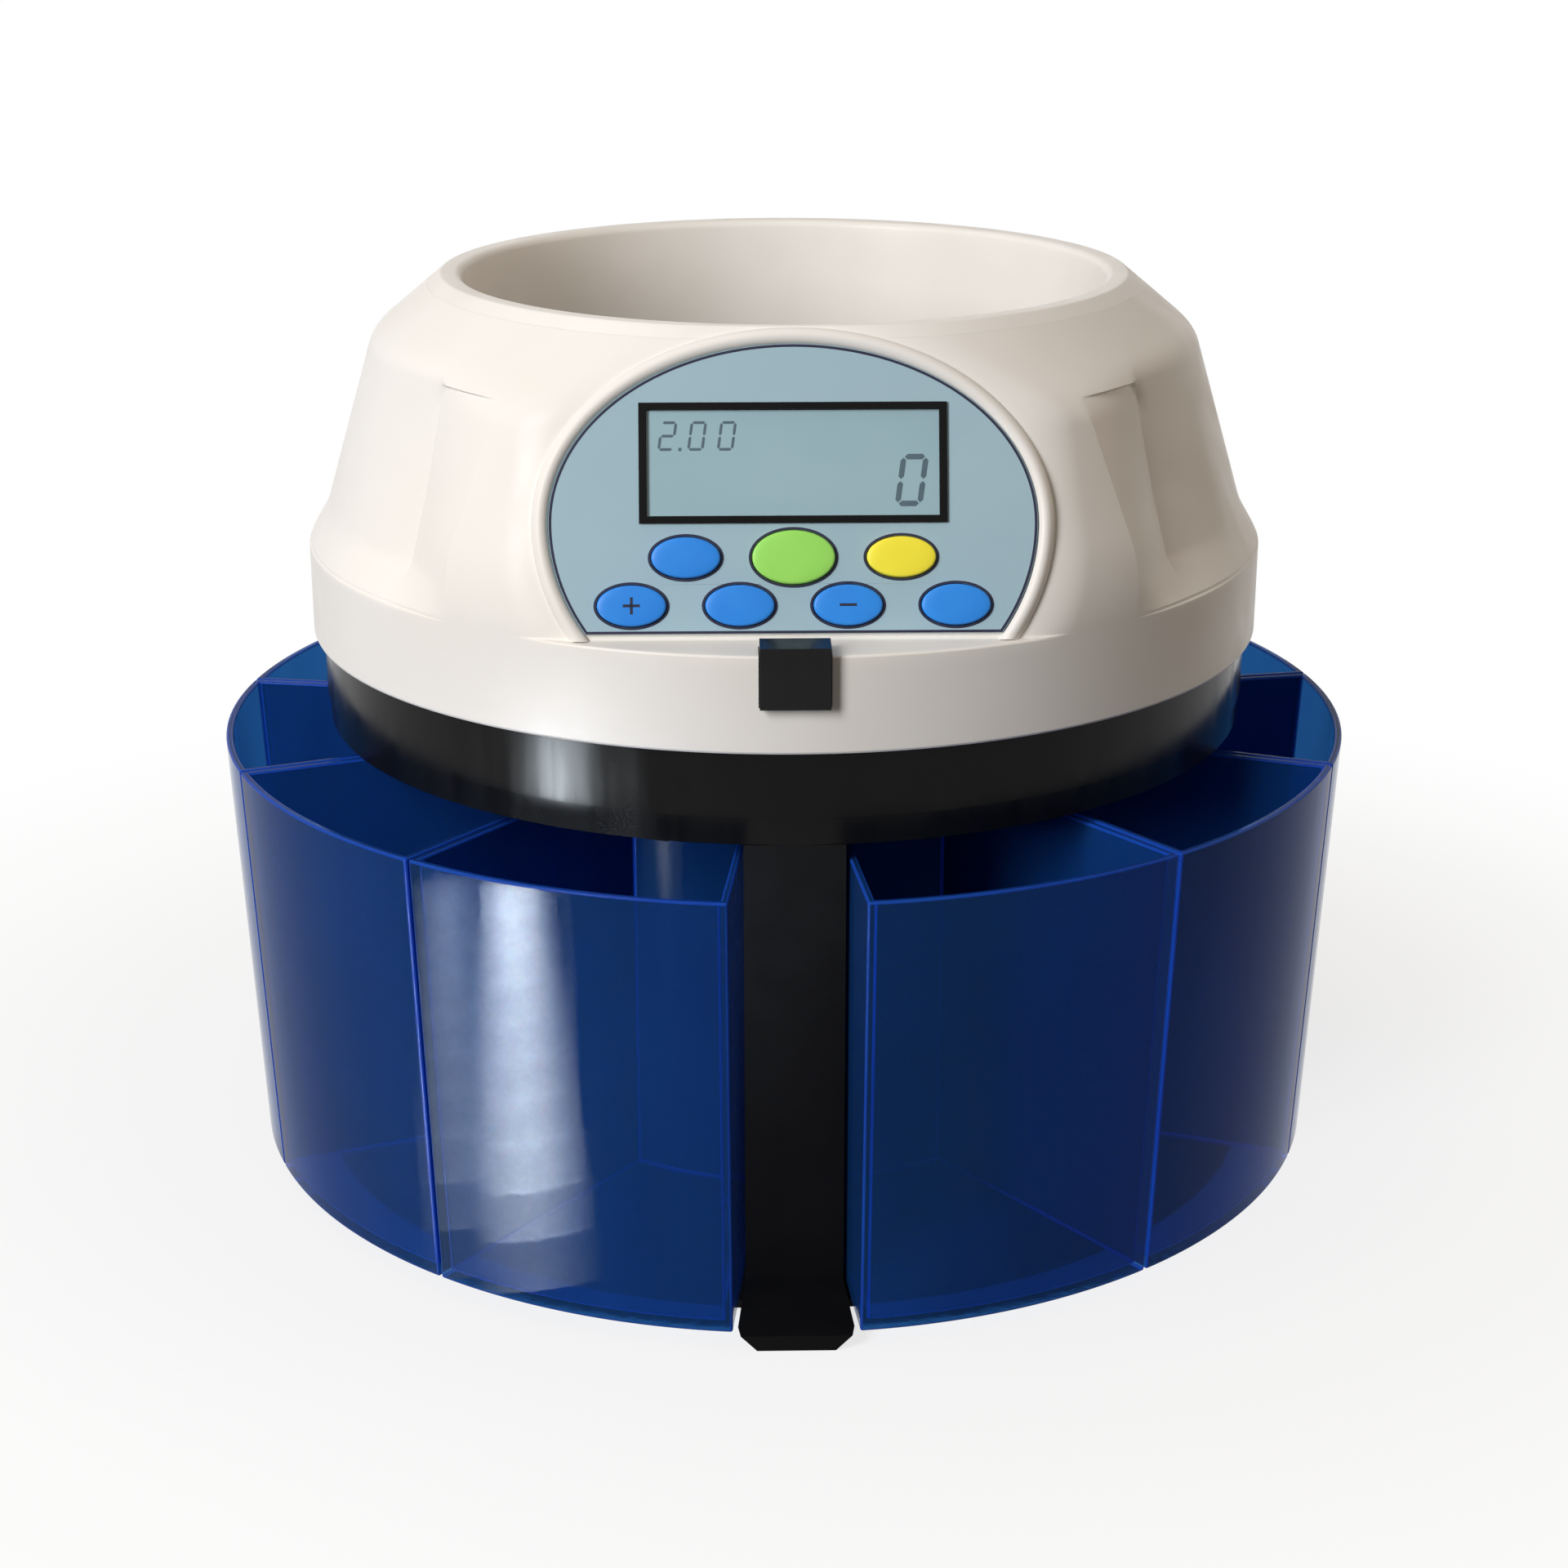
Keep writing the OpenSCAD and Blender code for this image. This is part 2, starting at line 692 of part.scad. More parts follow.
module inlet_blades() {
    blade_t = 2;
    blade_len = socket_deep * 0.75;
    blade_rise = blade_w / 2;
    blade_foot = port_flange - socket_deep;
    color(steel) on_port() translate([inlet_x, 0, blade_foot])
        for (p = [[-blade_pitch, -blade_rise], [0, blade_rise], [blade_pitch, -blade_rise]])
            translate([p[0], p[1], 0]) linear_extrude(blade_len)
                square([blade_t, blade_w], center = true);
}

module switch_body() {
    switch_deep = inlet_deep * 0.8;
    color(black) on_port() translate([switch_x, 0, 0]) difference() {
        snap_body(switch_w, switch_h, switch_deep);
        translate([0, 0, -rocker_sink]) rotate([0, 90, 0])
            cylinder(r = rocker_r + slip, h = rocker_w + 2 * slip, center = true);
    }
}

// The rocker turns on a line behind the panel's outer face and rests tilted to one side
module power_rocker() {
    face = rocker_r * 0.5;
    color([0.6, 0.08, 0.06]) on_port() translate([switch_x, 0, -rocker_sink]) rotate([rocker_tilt, 0, 0])
        rotate([0, 90, 0]) rotate(90) translate([0, 0, -rocker_w / 2]) linear_extrude(rocker_w)
        intersection() {
            circle(r = rocker_r);
            polygon([[-rocker_r, -rocker_r / 2], [rocker_r, -rocker_r / 2],
                [rocker_r, face + rocker_r * tan(rocker_tilt)], [0, face],
                [-rocker_r, face + rocker_r * tan(rocker_tilt)]]);
        }
}

module transformer() {
    trafo_y = (drum_r + front_reach) / 2;
    stack_d = trafo_d * 0.6;
    coil_w = trafo_w * 0.62;
    yoke = trafo_h * 0.3;
    color([0.35, 0.33, 0.32]) translate([0, trafo_y, plate_top]) {
        difference() {
            block(trafo_w, stack_d, trafo_h);
            translate([0, 0, yoke]) block(coil_w, trafo_d, trafo_h - 2 * yoke);
        }
        translate([0, 0, yoke]) block(coil_w, trafo_d, trafo_h - 2 * yoke);
    }
}

// Main board on four standoffs: a processor, a row of capacitors and a long connector
module main_board() {
    board_w = drum_r * 0.9;
    board_d = board_w * 0.82;
    stand_r = 3;
    stand_h = 7;
    stand_in = 2 * stand_r;
    chip_w = board_w * 0.24;
    chip_h = 3;
    cap_r = board_w * 0.066;
    cap_h = 3 * cap_r;
    plug_w = board_w * 0.62;
    plug_d = plug_w / 6;
    color(board_green) translate([0, 0, plate_top]) {
        for (x = [-1, 1], y = [-1, 1])
            translate([x * (board_w / 2 - stand_in), y * (board_d / 2 - stand_in), 0])
                cylinder(r = stand_r, h = stand_h);
        translate([0, 0, stand_h]) block(board_w, board_d, board_t);
        translate([0, 0, stand_h + board_t]) {
            translate([-board_w / 4, -board_d / 4, 0]) block(chip_w, chip_w, chip_h);
            for (k = [0 : 2])
                translate([(1 + 2.5 * k) * cap_r, -board_d / 4, 0]) cylinder(r = cap_r, h = cap_h);
            translate([0, board_d / 4, 0]) block(plug_w, plug_d, plug_d);
        }
    }
}

// Opening of a chute through the deck, grown by a clearance
module chute_prism(grow, z0, z1) {
    translate([chute_in_r - grow, -chute_half - grow, z0])
        cube([chute_out_r - chute_in_r + 2 * grow, 2 * (chute_half + grow), z1 - z0]);
}

// Lower tier of the black ring: it rests on the pillar and the cabinet, and the deck lies on its ledge
module lower_ring() {
    color(black) translate([0, 0, ring_z]) {
        ring(ring_r - tier_step, deck_r, tier_h);
        ring(ring_r - tier_step, deck_r - tier_ledge, deck_lift);
    }
}

module lower_deck() {
    color(black) difference() {
        union() {
            translate([0, 0, deck_z]) cylinder(r = deck_r, h = deck_t);
            translate([0, 0, deck_top - bearing_w - bearing_wall])
                cylinder(r = bearing_r + bearing_wall, h = bearing_w + bearing_wall);
        }
        translate([0, 0, deck_top - bearing_w]) cylinder(r = bearing_r, h = bearing_w + 1);
        cylinder(r = bearing_r - bearing_wall, h = deck_top);
        at_boxes() chute_prism(chute_wall + set_in, deck_z - 1, deck_top + 1);
        at_flange_screws() translate([0, 0, deck_top]) rotate([180, 0, 0]) {
            translate([0, 0, -1]) cylinder(r = screw_head_r + set_in, h = screw_head_h + 1);
            screw_hole(deck_t + 1);
        }
    }
}

module upper_ring() {
    color(black) translate([0, 0, tier_top]) ring(ring_r, ring_in_r, ring_h);
}

// Spacers that carry the sorting rail over the deck
module rail_posts() {
    color(steel) at_boxes() rotate(-box_half) translate([rail_post_ring_r, 0, deck_top])
        cylinder(r = rail_post_r, h = rail_lift);
}

module sorting_rail() {
    rail_r = ring_in_r - slip;
    color(steel) difference() {
        translate([0, 0, rail_z]) ring(rail_r, rail_in_r, rail_t);
        for (i = [0 : box_count - 1]) rotate(box_dir(i))
            translate([guide_r - window_lip - coin_d[i] - window_room, -window_len / 2, rail_z - 1])
                cube([coin_d[i] + window_room, window_len, rail_t + 2]);
    }
}

module rail_guide() {
    color(steel) translate([0, 0, rail_top]) ring(ring_in_r - slip, guide_r, guide_h);
}

module coin_chutes() {
    chute_z = deck_z - chute_drop;
    color([0.12, 0.12, 0.13]) at_boxes() difference() {
        union() {
            chute_prism(chute_wall, chute_z, rail_z - slip);
            intersection() {
                chute_prism(chute_wall + chute_lip, deck_top, deck_top + 1);
                cylinder(r = deck_r - slip, h = ring_top);
            }
        }
        chute_prism(0, chute_z - 1, rail_z + 1);
    }
}

module coin_sensors() {
    sensor_r = chute_in_r - chute_wall - chute_lip - sensor_w;
    color([0.15, 0.16, 0.2]) at_boxes() translate([sensor_r, 0, deck_top])
        block(sensor_w, 1.5 * sensor_w, rail_lift - slip);
}

module shaft_bearings() {
    color(steel) for (z = [deck_top - bearing_w, bracket_top - bearing_w])
        translate([0, 0, z]) ring(bearing_r, shaft_r + running, bearing_w);
}

module motor_bracket() {
    cup_z = bracket_top - bearing_w - bearing_wall;
    color([0.45, 0.46, 0.48]) difference() {
        union() {
            translate([0, 0, bracket_z]) cylinder(r = bracket_r, h = bracket_t);
            translate([0, 0, cup_z]) cylinder(r = bearing_r + bearing_wall, h = bracket_top - cup_z);
            for (a = post_angles) rotate(a) translate([post_ring_r, 0, bracket_z])
                cylinder(r = post_r, h = deck_z - bracket_z);
        }
        translate([0, 0, bracket_top - bearing_w]) cylinder(r = bearing_r, h = bearing_w + 1);
        translate([0, 0, cup_z - 1]) cylinder(r = bearing_r - bearing_wall, h = bearing_w + bearing_wall);
        translate([0, motor_y, bracket_z - 1]) cylinder(r = pinion_shaft_r + running, h = bracket_t + 2);
    }
}

module gearbox() {
    color([0.55, 0.55, 0.56]) translate([0, motor_y, bracket_z - gearbox_len]) difference() {
        cylinder(r = gearbox_r, h = gearbox_len);
        translate([0, 0, gearbox_len / 2]) cylinder(r = pinion_shaft_r + running, h = gearbox_len);
    }
}

module motor() {
    motor_z = bracket_z - gearbox_len - motor_len;
    boss_r = motor_r * 0.35;
    boss_h = 3;
    color([0.3, 0.3, 0.32]) translate([0, motor_y, motor_z]) {
        cylinder(r = motor_r, h = motor_len);
        translate([0, 0, -boss_h]) cylinder(r = boss_r, h = boss_h + 1);
    }
}

module motor_pinion() {
    shaft_z = bracket_z - gearbox_len / 2 + slip;
    color([0.75, 0.6, 0.3]) translate([0, motor_y, 0]) {
        translate([0, 0, gear_z]) rotate(-90 + 180 / pinion_teeth)
            linear_extrude(gear_w) polygon(gear_outline(pinion_teeth));
        translate([0, 0, shaft_z]) cylinder(r = pinion_shaft_r, h = gear_z + 1 - shaft_z);
    }
}

module drive_gear() {
    hub_z = bracket_top + slip;
    hub_top = deck_top - bearing_w - bearing_wall - slip;
    color([0.9, 0.88, 0.8]) difference() {
        union() {
            translate([0, 0, gear_z]) rotate(90) linear_extrude(gear_w) polygon(gear_outline(gear_teeth));
            translate([0, 0, hub_z]) cylinder(r = gear_hub_r, h = hub_top - hub_z);
        }
        translate([0, 0, hub_z - 1]) cylinder(r = shaft_r + running, h = hub_top - hub_z + 2);
    }
}

module drive_shaft() {
    shaft_z = bracket_top - bearing_w;
    collar_r = shaft_r + 3;
    color(steel) {
        translate([0, 0, shaft_z]) cylinder(r = shaft_r, h = disc_top + hub_h - shaft_z);
        translate([0, 0, deck_top + slip]) cylinder(r = collar_r, h = disc_z - deck_top - slip);
    }
}

module coin_disc() {
    color([0.2, 0.2, 0.22]) difference() {
        union() {
            translate([0, 0, disc_z]) cylinder(r = disc_r, h = disc_t);
            translate([0, 0, disc_z]) cylinder(r = hub_r, h = disc_t + hub_h);
            translate([0, 0, disc_z]) intersection() {
                cylinder(r = finger_r, h = disc_t);
                for (k = [0 : finger_count - 1]) rotate(360 / finger_count * k)
                    translate([disc_r - finger_w, -finger_w / 2, 0])
                        cube([finger_r - disc_r + 2 * finger_w, finger_w, disc_t]);
            }
        }
        translate([0, 0, disc_z - 1]) cylinder(r = shaft_r + running, h = disc_t + hub_h + 2);
    }
}

module hub_cap() {
    color([0.25, 0.25, 0.27]) translate([0, 0, disc_top + hub_h])
        cylinder(r1 = hub_r, r2 = hub_r * 0.45, h = cap_h);
}

module chassis_screws() {
    color(steel) {
        translate([0, 0, foot_h + screw_head_h]) at_flange_screws()
            screw(plate_t - screw_head_h + drum_flange_t);
        translate([0, 0, deck_top - screw_head_h]) at_flange_screws()
            rotate([180, 0, 0]) screw(deck_t - screw_head_h + drum_flange_t);
    }
}

// Knuckle of the hinge between two stations along X
module knuckle(x0, x1, r) {
    translate([x0, hinge_y, hinge_z]) rotate([0, 90, 0]) cylinder(r = r, h = x1 - x0);
}

side_from = knuckle_len / 2 + slip;
side_to = side_from + side_len;

module hinge_bracket() {
    post_y = ring_r + slip;
    post_back = hinge_y - knuckle_r - slip;
    color(black) difference() {
        union() {
            difference() {
                translate([-side_to, 0, ring_z])
                    cube([2 * side_to, post_back, hinge_z - ring_z - knuckle_r]);
                cylinder(r = post_y, h = hinge_z);
            }
            for (s = [-1, 1]) {
                x0 = s > 0 ? side_from : -side_to;
                knuckle(x0, x0 + side_len, knuckle_r);
                translate([x0, post_back - 1, ring_z])
                    cube([side_len, knuckle_r + slip + 1, hinge_z - ring_z]);
            }
        }
        knuckle(-side_to - 1, side_to + 1, pin_r);
    }
}

module hinge_pin() {
    color(steel) knuckle(-side_to, side_to, pin_r);
}

module hinge_leaf() {
    leaf_back = skirt_r + leaf_t;
    color(black) difference() {
        union() {
            difference() {
                translate([-leaf_half, 0, skirt_z]) cube([knuckle_len, leaf_back, leaf_h]);
                cylinder(r = skirt_r, h = rim_z);
            }
            knuckle(-leaf_half, leaf_half, knuckle_r);
            difference() {
                translate([-leaf_half, 0, hinge_z])
                    cube([knuckle_len, hinge_y + knuckle_r, leaf_t + hinge_low]);
                cylinder(r = skirt_r + slip, h = rim_z);
            }
        }
        knuckle(-leaf_half - 1, leaf_half + 1, pin_r + running);
        leaf_screw_holes();
    }
}

module at_leaf_screws() {
    for (s = [-1, 1]) translate([s * leaf_screw_x, skirt_r + leaf_t, leaf_screw_z])
        rotate([90, 0, 0]) children();
}

module leaf_screw_holes() {
    at_leaf_screws() screw_hole(leaf_t + 2 * shell_t);
}

module leaf_screws() {
    color(steel) at_leaf_screws() screw(leaf_t + shell_t + 1);
}

module latch_catch() {
    color(steel) intersection() {
        translate([-catch_half, -ring_in_r - 1, catch_top - catch_h])
            cube([2 * catch_half, ring_in_r + 1 - catch_in, catch_h]);
        cylinder(r = ring_in_r, h = ring_top);
    }
}

// Space that the latch button takes in the front of the housing, with its travel
module latch_slot() {
    translate([-latch_w / 2 - slip, -latch_front - 1, latch_z - slip])
        cube([latch_w + 2 * slip, latch_deep + latch_travel + 1 + slip, latch_h + 2 * slip]);
}

module latch_button() {
    flange_w = latch_w + 2 * flange_grow;
    arm_z = catch_top - catch_h;
    flange_z = latch_z + 1;
    flange_h = shelf_z - shell_t - slip - flange_z;
    color(black) {
        difference() {
            translate([-latch_w / 2, -latch_front, latch_z]) cube([latch_w, latch_deep, latch_h]);
            translate([0, -latch_front, latch_z + latch_h]) rotate([45, 0, 0])
                block(latch_w + 2, latch_proud, latch_proud);
        }
        translate([-flange_w / 2, -flange_front, flange_z]) cube([flange_w, flange_t, flange_h]);
        translate([-arm_half, -flange_front, flange_z])
            cube([2 * arm_half, flange_front - arm_front + latch_arm_t, flange_h]);
        translate([-arm_half, -arm_front, arm_z]) cube([2 * arm_half, latch_arm_t, flange_z + 1 - arm_z]);
    }
}

// Solid of revolution under the dome's outer profile
module dome_solid() {
    rotate_extrude() polygon([[0, skirt_z], [skirt_r, skirt_z], [skirt_r, shelf_z], [waist_r, waist_z],
        [shoulder_r, shoulder_z], [rim_r, rim_z], [0, rim_z]]);
    rotate(-90 - console_half) rotate_extrude(angle = 2 * console_half)
        polygon([[0, skirt_z], [skirt_r, skirt_z], [skirt_r, shelf_z + console_rise],
            [console_r, shoulder_z - console_drop], [shoulder_r, shoulder_z], [0, shoulder_z]]);
}

// Half space in front of a plane that lies parallel to the panel's face, above a height
module before_panel(offset_z, from_z) {
    intersection() {
        on_panel() translate([-wedge_reach / 2, -wedge_reach / 2, offset_z])
            cube([wedge_reach, wedge_reach, wedge_reach]);
        translate([-wedge_reach / 2, -wedge_reach, from_z])
            cube([wedge_reach, 2 * wedge_reach, wedge_reach]);
    }
}

module dome_cavity() {
    difference() {
        rotate_extrude() polygon([[0, skirt_z - 1], [skirt_r - shell_t, skirt_z - 1],
            [skirt_r - shell_t, shelf_z - shell_t], [waist_r - shell_t, waist_z - shell_t],
            [shoulder_r - shell_t, shoulder_z - shell_t], [throat_r, rim_z - 1.3 * shell_t],
            [throat_r, rim_z + 1], [0, rim_z + 1]]);
        before_panel(wall_in, shelf_z - shell_t);
    }
}

// Arch-shaped boss that carries the panel and its raised frame
module panel_boss() {
    boss_deep = 14;
    intersection() {
        on_panel() translate([0, 0, -boss_deep]) linear_extrude(boss_deep + frame_h)
            polygon(panel_outline(frame_w, panel_lift / cos(panel_tilt) + 1));
        translate([0, 0, shelf_z - 1]) cylinder(r = skirt_r, h = rim_z - shelf_z + 1);
    }
}

module key_holes() {
    for (k = keys) on_panel() translate([k[0], k[1], wall_in - 1])
        linear_extrude(shell_t + overlay_t + 2) polygon(ellipse(k[2] + 2 * slip, k[3] + 2 * slip));
}

// Place and size of each key on the panel
keys = [
    [-pitch_high, row_high, key_w, key_h],
    [0, row_high, key_big_w, key_big_h],
    [pitch_high, row_high, key_w, key_h],
    for (k = [0 : 3]) [(k - 1.5) * pitch_low, row_low, key_w, key_h]
];
key_colours = [key_blue, key_green, key_yellow, key_blue, key_blue, key_blue, key_blue];

module top_housing() {
    post_bite = 0.5;
    board_x = (lcd_open_w + board_lap) / 2;
    board_y = (lcd_open_h + board_lap) / 2;
    color(white_shell) {
        difference() {
            union() {
                difference() {
                    dome_solid();
                    before_panel(0, shelf_z);
                }
                panel_boss();
            }
            dome_cavity();
            on_panel() linear_extrude(frame_h + 1) polygon(panel_outline(set_in, set_in));
            on_panel() translate([0, lcd_mid, wall_in - 1]) linear_extrude(shell_t + 2)
                square([lcd_open_w, lcd_open_h], center = true);
            key_holes();
            latch_slot();
            leaf_screw_holes();
        }
        on_panel() for (p = key_posts) translate([p[0], p[1], key_board_top])
            cylinder(r = key_post_r, h = wall_in - key_board_top + post_bite);
        on_panel() for (x = [-1, 1], y = [-1, 1])
            translate([x * board_x, lcd_mid + y * board_y, backlight_back])
                cylinder(r = board_lap / 2, h = wall_in - backlight_back + post_bite);
    }
}

module hopper_bowl() {
    color([0.86, 0.85, 0.83]) rotate_extrude() {
        polygon([[bowl_low_r, bowl_z], [bowl_low_r + bowl_wall, bowl_z], [bowl_r + bowl_wall, rim_z],
            [bowl_r, rim_z]]);
        intersection() {
            translate([bowl_r + lip_w / 2, rim_z]) circle(r = lip_w / 2);
            translate([0, rim_z]) square([skirt_r, lip_w]);
        }
    }
}

module panel_overlay() {
    color([0.62, 0.71, 0.75]) difference() {
        on_panel() linear_extrude(overlay_t) difference() {
            polygon(panel_outline(0));
            translate([0, lcd_mid]) square([lcd_w + 2 * set_in, lcd_h + 2 * set_in], center = true);
        }
        key_holes();
    }
}

module lcd_bezel() {
    color(black) on_panel() translate([0, lcd_mid, 0]) linear_extrude(overlay_t + lcd_proud) difference() {
        square([lcd_w, lcd_h], center = true);
        square([lcd_open_w, lcd_open_h], center = true);
    }
}

module lcd_glass() {
    color([0.63, 0.73, 0.73]) on_panel() translate([0, lcd_mid, glass_back]) linear_extrude(lcd_glass_t)
        square([lcd_open_w - 2 * set_in, lcd_open_h - 2 * set_in], center = true);
}

module display_board() {
    color(board_green) on_panel() translate([0, lcd_mid, 0]) {
        translate([0, 0, backlight_back]) linear_extrude(backlight_t)
            square([lcd_open_w - 1, lcd_open_h - 1], center = true);
        translate([0, 0, backlight_back - board_t]) linear_extrude(board_t)
            square([lcd_open_w + 2 * board_lap, lcd_open_h + 2 * board_lap], center = true);
    }
}

module key_board() {
    key_board_mid = (key_board_low + key_board_high) / 2;
    color(board_green) on_panel() translate([0, key_board_mid, key_board_top - board_t])
        linear_extrude(board_t) square([key_board_w, key_board_high - key_board_low], center = true);
}

module key_switches() {
    color([0.2, 0.2, 0.2]) on_panel() for (k = keys) translate([k[0], k[1], key_board_top])
        linear_extrude(key_switch_h) square(key_switch_w, center = true);
}

module panel_key(i) {
    k = keys[i];
    color(key_colours[i]) on_panel() translate([k[0], k[1], 0]) {
        translate([0, 0, key_foot]) linear_extrude(overlay_t + key_proud - key_foot)
            polygon(ellipse(k[2], k[3]));
        translate([0, 0, key_foot]) linear_extrude(key_flange_t)
            polygon(ellipse(k[2] + 2 * flange_lap, k[3] + 2 * flange_lap));
    }
}

// Coin box number i, with a drafted outer wall, open at the top
module coin_box(i) {
    lip = 1;
    color(box_blue) rotate(box_dir(i)) translate([0, 0, box_z]) difference() {
        intersection() {
            linear_extrude(box_h) difference() {
                wedge(box_half, box_gap / 2);
                circle(r = box_in_r);
            }
            cylinder(r1 = box_foot_r, r2 = box_top_r, h = box_h);
        }
        intersection() {
            translate([0, 0, box_floor]) linear_extrude(box_h) difference() {
                wedge(box_half, box_gap / 2 + box_wall);
                circle(r = box_in_r + box_wall);
            }
            translate([0, 0, box_floor]) cylinder(r1 = box_r(box_floor) - box_wall,
                r2 = box_r(box_h + lip) - box_wall, h = box_h + lip - box_floor);
        }
    }
}

base_plate();
rubber_feet();
central_drum();
front_pillar();
rear_cabinet();
rear_panel();
power_inlet();
inlet_blades();
switch_body();
power_rocker();
transformer();
main_board();
lower_ring();
lower_deck();
upper_ring();
rail_posts();
sorting_rail();
rail_guide();
coin_chutes();
coin_sensors();
shaft_bearings();
motor_bracket();
gearbox();
motor();
motor_pinion();
drive_gear();
drive_shaft();
coin_disc();
hub_cap();
chassis_screws();
hinge_bracket();
hinge_pin();
hinge_leaf();
leaf_screws();
latch_catch();
latch_button();
top_housing();
hopper_bowl();
panel_overlay();
lcd_bezel();
lcd_glass();
display_board();
key_board();
key_switches();
panel_key(0);  // key_upper_left
panel_key(1);  // key_upper_middle
panel_key(2);  // key_upper_right
panel_key(3);  // key_lower_1
panel_key(4);  // key_lower_2
panel_key(5);  // key_lower_3
panel_key(6);  // key_lower_4
coin_box(0);  // coin_box_1
coin_box(1);  // coin_box_2
coin_box(2);  // coin_box_3
coin_box(3);  // coin_box_4
coin_box(4);  // coin_box_5
coin_box(5);  // coin_box_6
coin_box(6);  // coin_box_7
coin_box(7);  // coin_box_8
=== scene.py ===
"""Coin sorter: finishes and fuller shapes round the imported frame.

Shapes are written in millimetres in the frame's axes (+Z up, -Y to the front) and become metres
when their mesh is made. Angles round the axis count from the front, positive to the right.
"""
import json
from math import asin, atan, cos, degrees, pi, radians, sin, tan

import bmesh
import bpy
import numpy as np
from mathutils import Matrix, Vector


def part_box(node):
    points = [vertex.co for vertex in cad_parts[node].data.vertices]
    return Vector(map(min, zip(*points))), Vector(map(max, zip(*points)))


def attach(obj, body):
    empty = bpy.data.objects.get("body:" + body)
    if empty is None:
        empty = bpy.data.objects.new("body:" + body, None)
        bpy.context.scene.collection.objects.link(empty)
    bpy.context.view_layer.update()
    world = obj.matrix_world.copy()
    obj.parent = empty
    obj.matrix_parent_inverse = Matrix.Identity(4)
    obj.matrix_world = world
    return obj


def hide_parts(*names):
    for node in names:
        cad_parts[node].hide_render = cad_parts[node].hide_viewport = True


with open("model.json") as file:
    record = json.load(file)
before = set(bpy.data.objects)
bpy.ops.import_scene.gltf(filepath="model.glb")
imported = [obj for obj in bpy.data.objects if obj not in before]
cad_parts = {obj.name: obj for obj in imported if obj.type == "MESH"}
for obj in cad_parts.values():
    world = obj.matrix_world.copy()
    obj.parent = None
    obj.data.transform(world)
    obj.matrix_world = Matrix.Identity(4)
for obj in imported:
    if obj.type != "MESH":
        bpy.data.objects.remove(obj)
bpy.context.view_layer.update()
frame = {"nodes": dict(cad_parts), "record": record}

MM = 0.001


def low(node):
    """Lowest corner of a CAD node, in millimetres."""
    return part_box(node)[0] / MM


def high(node):
    """Highest corner of a CAD node, in millimetres."""
    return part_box(node)[1] / MM


# Dome of the top housing, from the skirt up
SKIRT_R = high("top_housing").x
SKIRT_Z = low("top_housing").z
RIM_Z = high("top_housing").z
SHELL_T = 3.0
SHELF_Z = SKIRT_Z + 27.5
WAIST_Z = SHELF_Z + 10
SHOULDER_Z = RIM_Z - 14
WAIST_R = SKIRT_R - 5.9
SHOULDER_R = 124.5
RIM_R = 107.5
THROAT_R = 99.7

# Hopper
LIP_R = high("hopper_bowl").x
LIP_HALF = high("hopper_bowl").z - RIM_Z
BOWL_Z = low("hopper_bowl").z
BOWL_R = LIP_R - 2 * LIP_HALF
BOWL_LOW_R = 91.0
BOWL_WALL = 2.2

# Control panel: its frame has x to the right, y up the panel and z out of its face
PANEL_TILT = radians(19.3)
PANEL_Y = 130.0
PANEL_Z = SHELF_Z + 1.7
PANEL_HALF = 66.0
PANEL_MID = 29.8
PANEL_RISE = 48.2
PANEL_LOW = 57.0
FILM_LOW = -0.05
FILM_TOP = 1.2
LCD_MID = 45.9
LCD_W = 82.8
LCD_H = 32.4
LCD_BORDER = 1.9
GLASS_TOP = 0.9
KEY_TOP = 3.0
KEY_FOOT = -4.7
KEY_GAP = 0.3
KEY_W, KEY_H = 18.6, 11.0
BIG_W, BIG_H = 22.3, 14.5
ROW_HIGH, ROW_LOW = 20.4, 7.5
PITCH_HIGH, PITCH_LOW = 29.0, 29.1
KEYS = {
    "key_upper_left": (-PITCH_HIGH, ROW_HIGH, KEY_W, KEY_H, "key_blue"),
    "key_upper_middle": (0.0, ROW_HIGH, BIG_W, BIG_H, "key_green"),
    "key_upper_right": (PITCH_HIGH, ROW_HIGH, KEY_W, KEY_H, "key_yellow"),
    "key_lower_1": (-1.5 * PITCH_LOW, ROW_LOW, KEY_W, KEY_H, "key_blue"),
    "key_lower_2": (-0.5 * PITCH_LOW, ROW_LOW, KEY_W, KEY_H, "key_blue"),
    "key_lower_3": (0.5 * PITCH_LOW, ROW_LOW, KEY_W, KEY_H, "key_blue"),
    "key_lower_4": (1.5 * PITCH_LOW, ROW_LOW, KEY_W, KEY_H, "key_blue"),
}
PANEL = Matrix.Translation((0, -PANEL_Y, PANEL_Z)) @ Matrix.Rotation(pi / 2 - PANEL_TILT, 4, "X")

# Coin boxes
BOX_COUNT = 8
BOX_Z = low("coin_box_1").z
BOX_TOP = high("coin_box_1").z
BOX_FOOT_R = 169.0
BOX_TOP_R = 175.0
BOX_IN_R = 78.0
BOX_WALL = 2.2
BOX_FLOOR = 2.5
BOX_GAP = 0.8
FRONT_HALF = 5.9
REAR_HALF = 49.0
BOX_PITCH = (180 - FRONT_HALF - REAR_HALF) / (BOX_COUNT / 2)


def soft_min(a, b, k):
    """Lesser of two values, rounded over a width k."""
    h = np.clip(0.5 + 0.5 * (b - a) / k, 0, 1)
    return b * (1 - h) + a * h - k * h * (1 - h)


def soft_max(a, b, k):
    """Greater of two values, rounded over a width k."""
    return -soft_min(-a, -b, k)


def ramp(x, start, end):
    """0 before start, 1 after end, straight between them."""
    return np.clip((x - start) / (end - start), 0, 1)


def ease(t):
    """0 to 1 with a slow start and a slow end."""
    return t * t * (3 - 2 * t)


# Mesh helpers

SHARP = 35
WELD = 0.002
ARCH_STEPS = 120


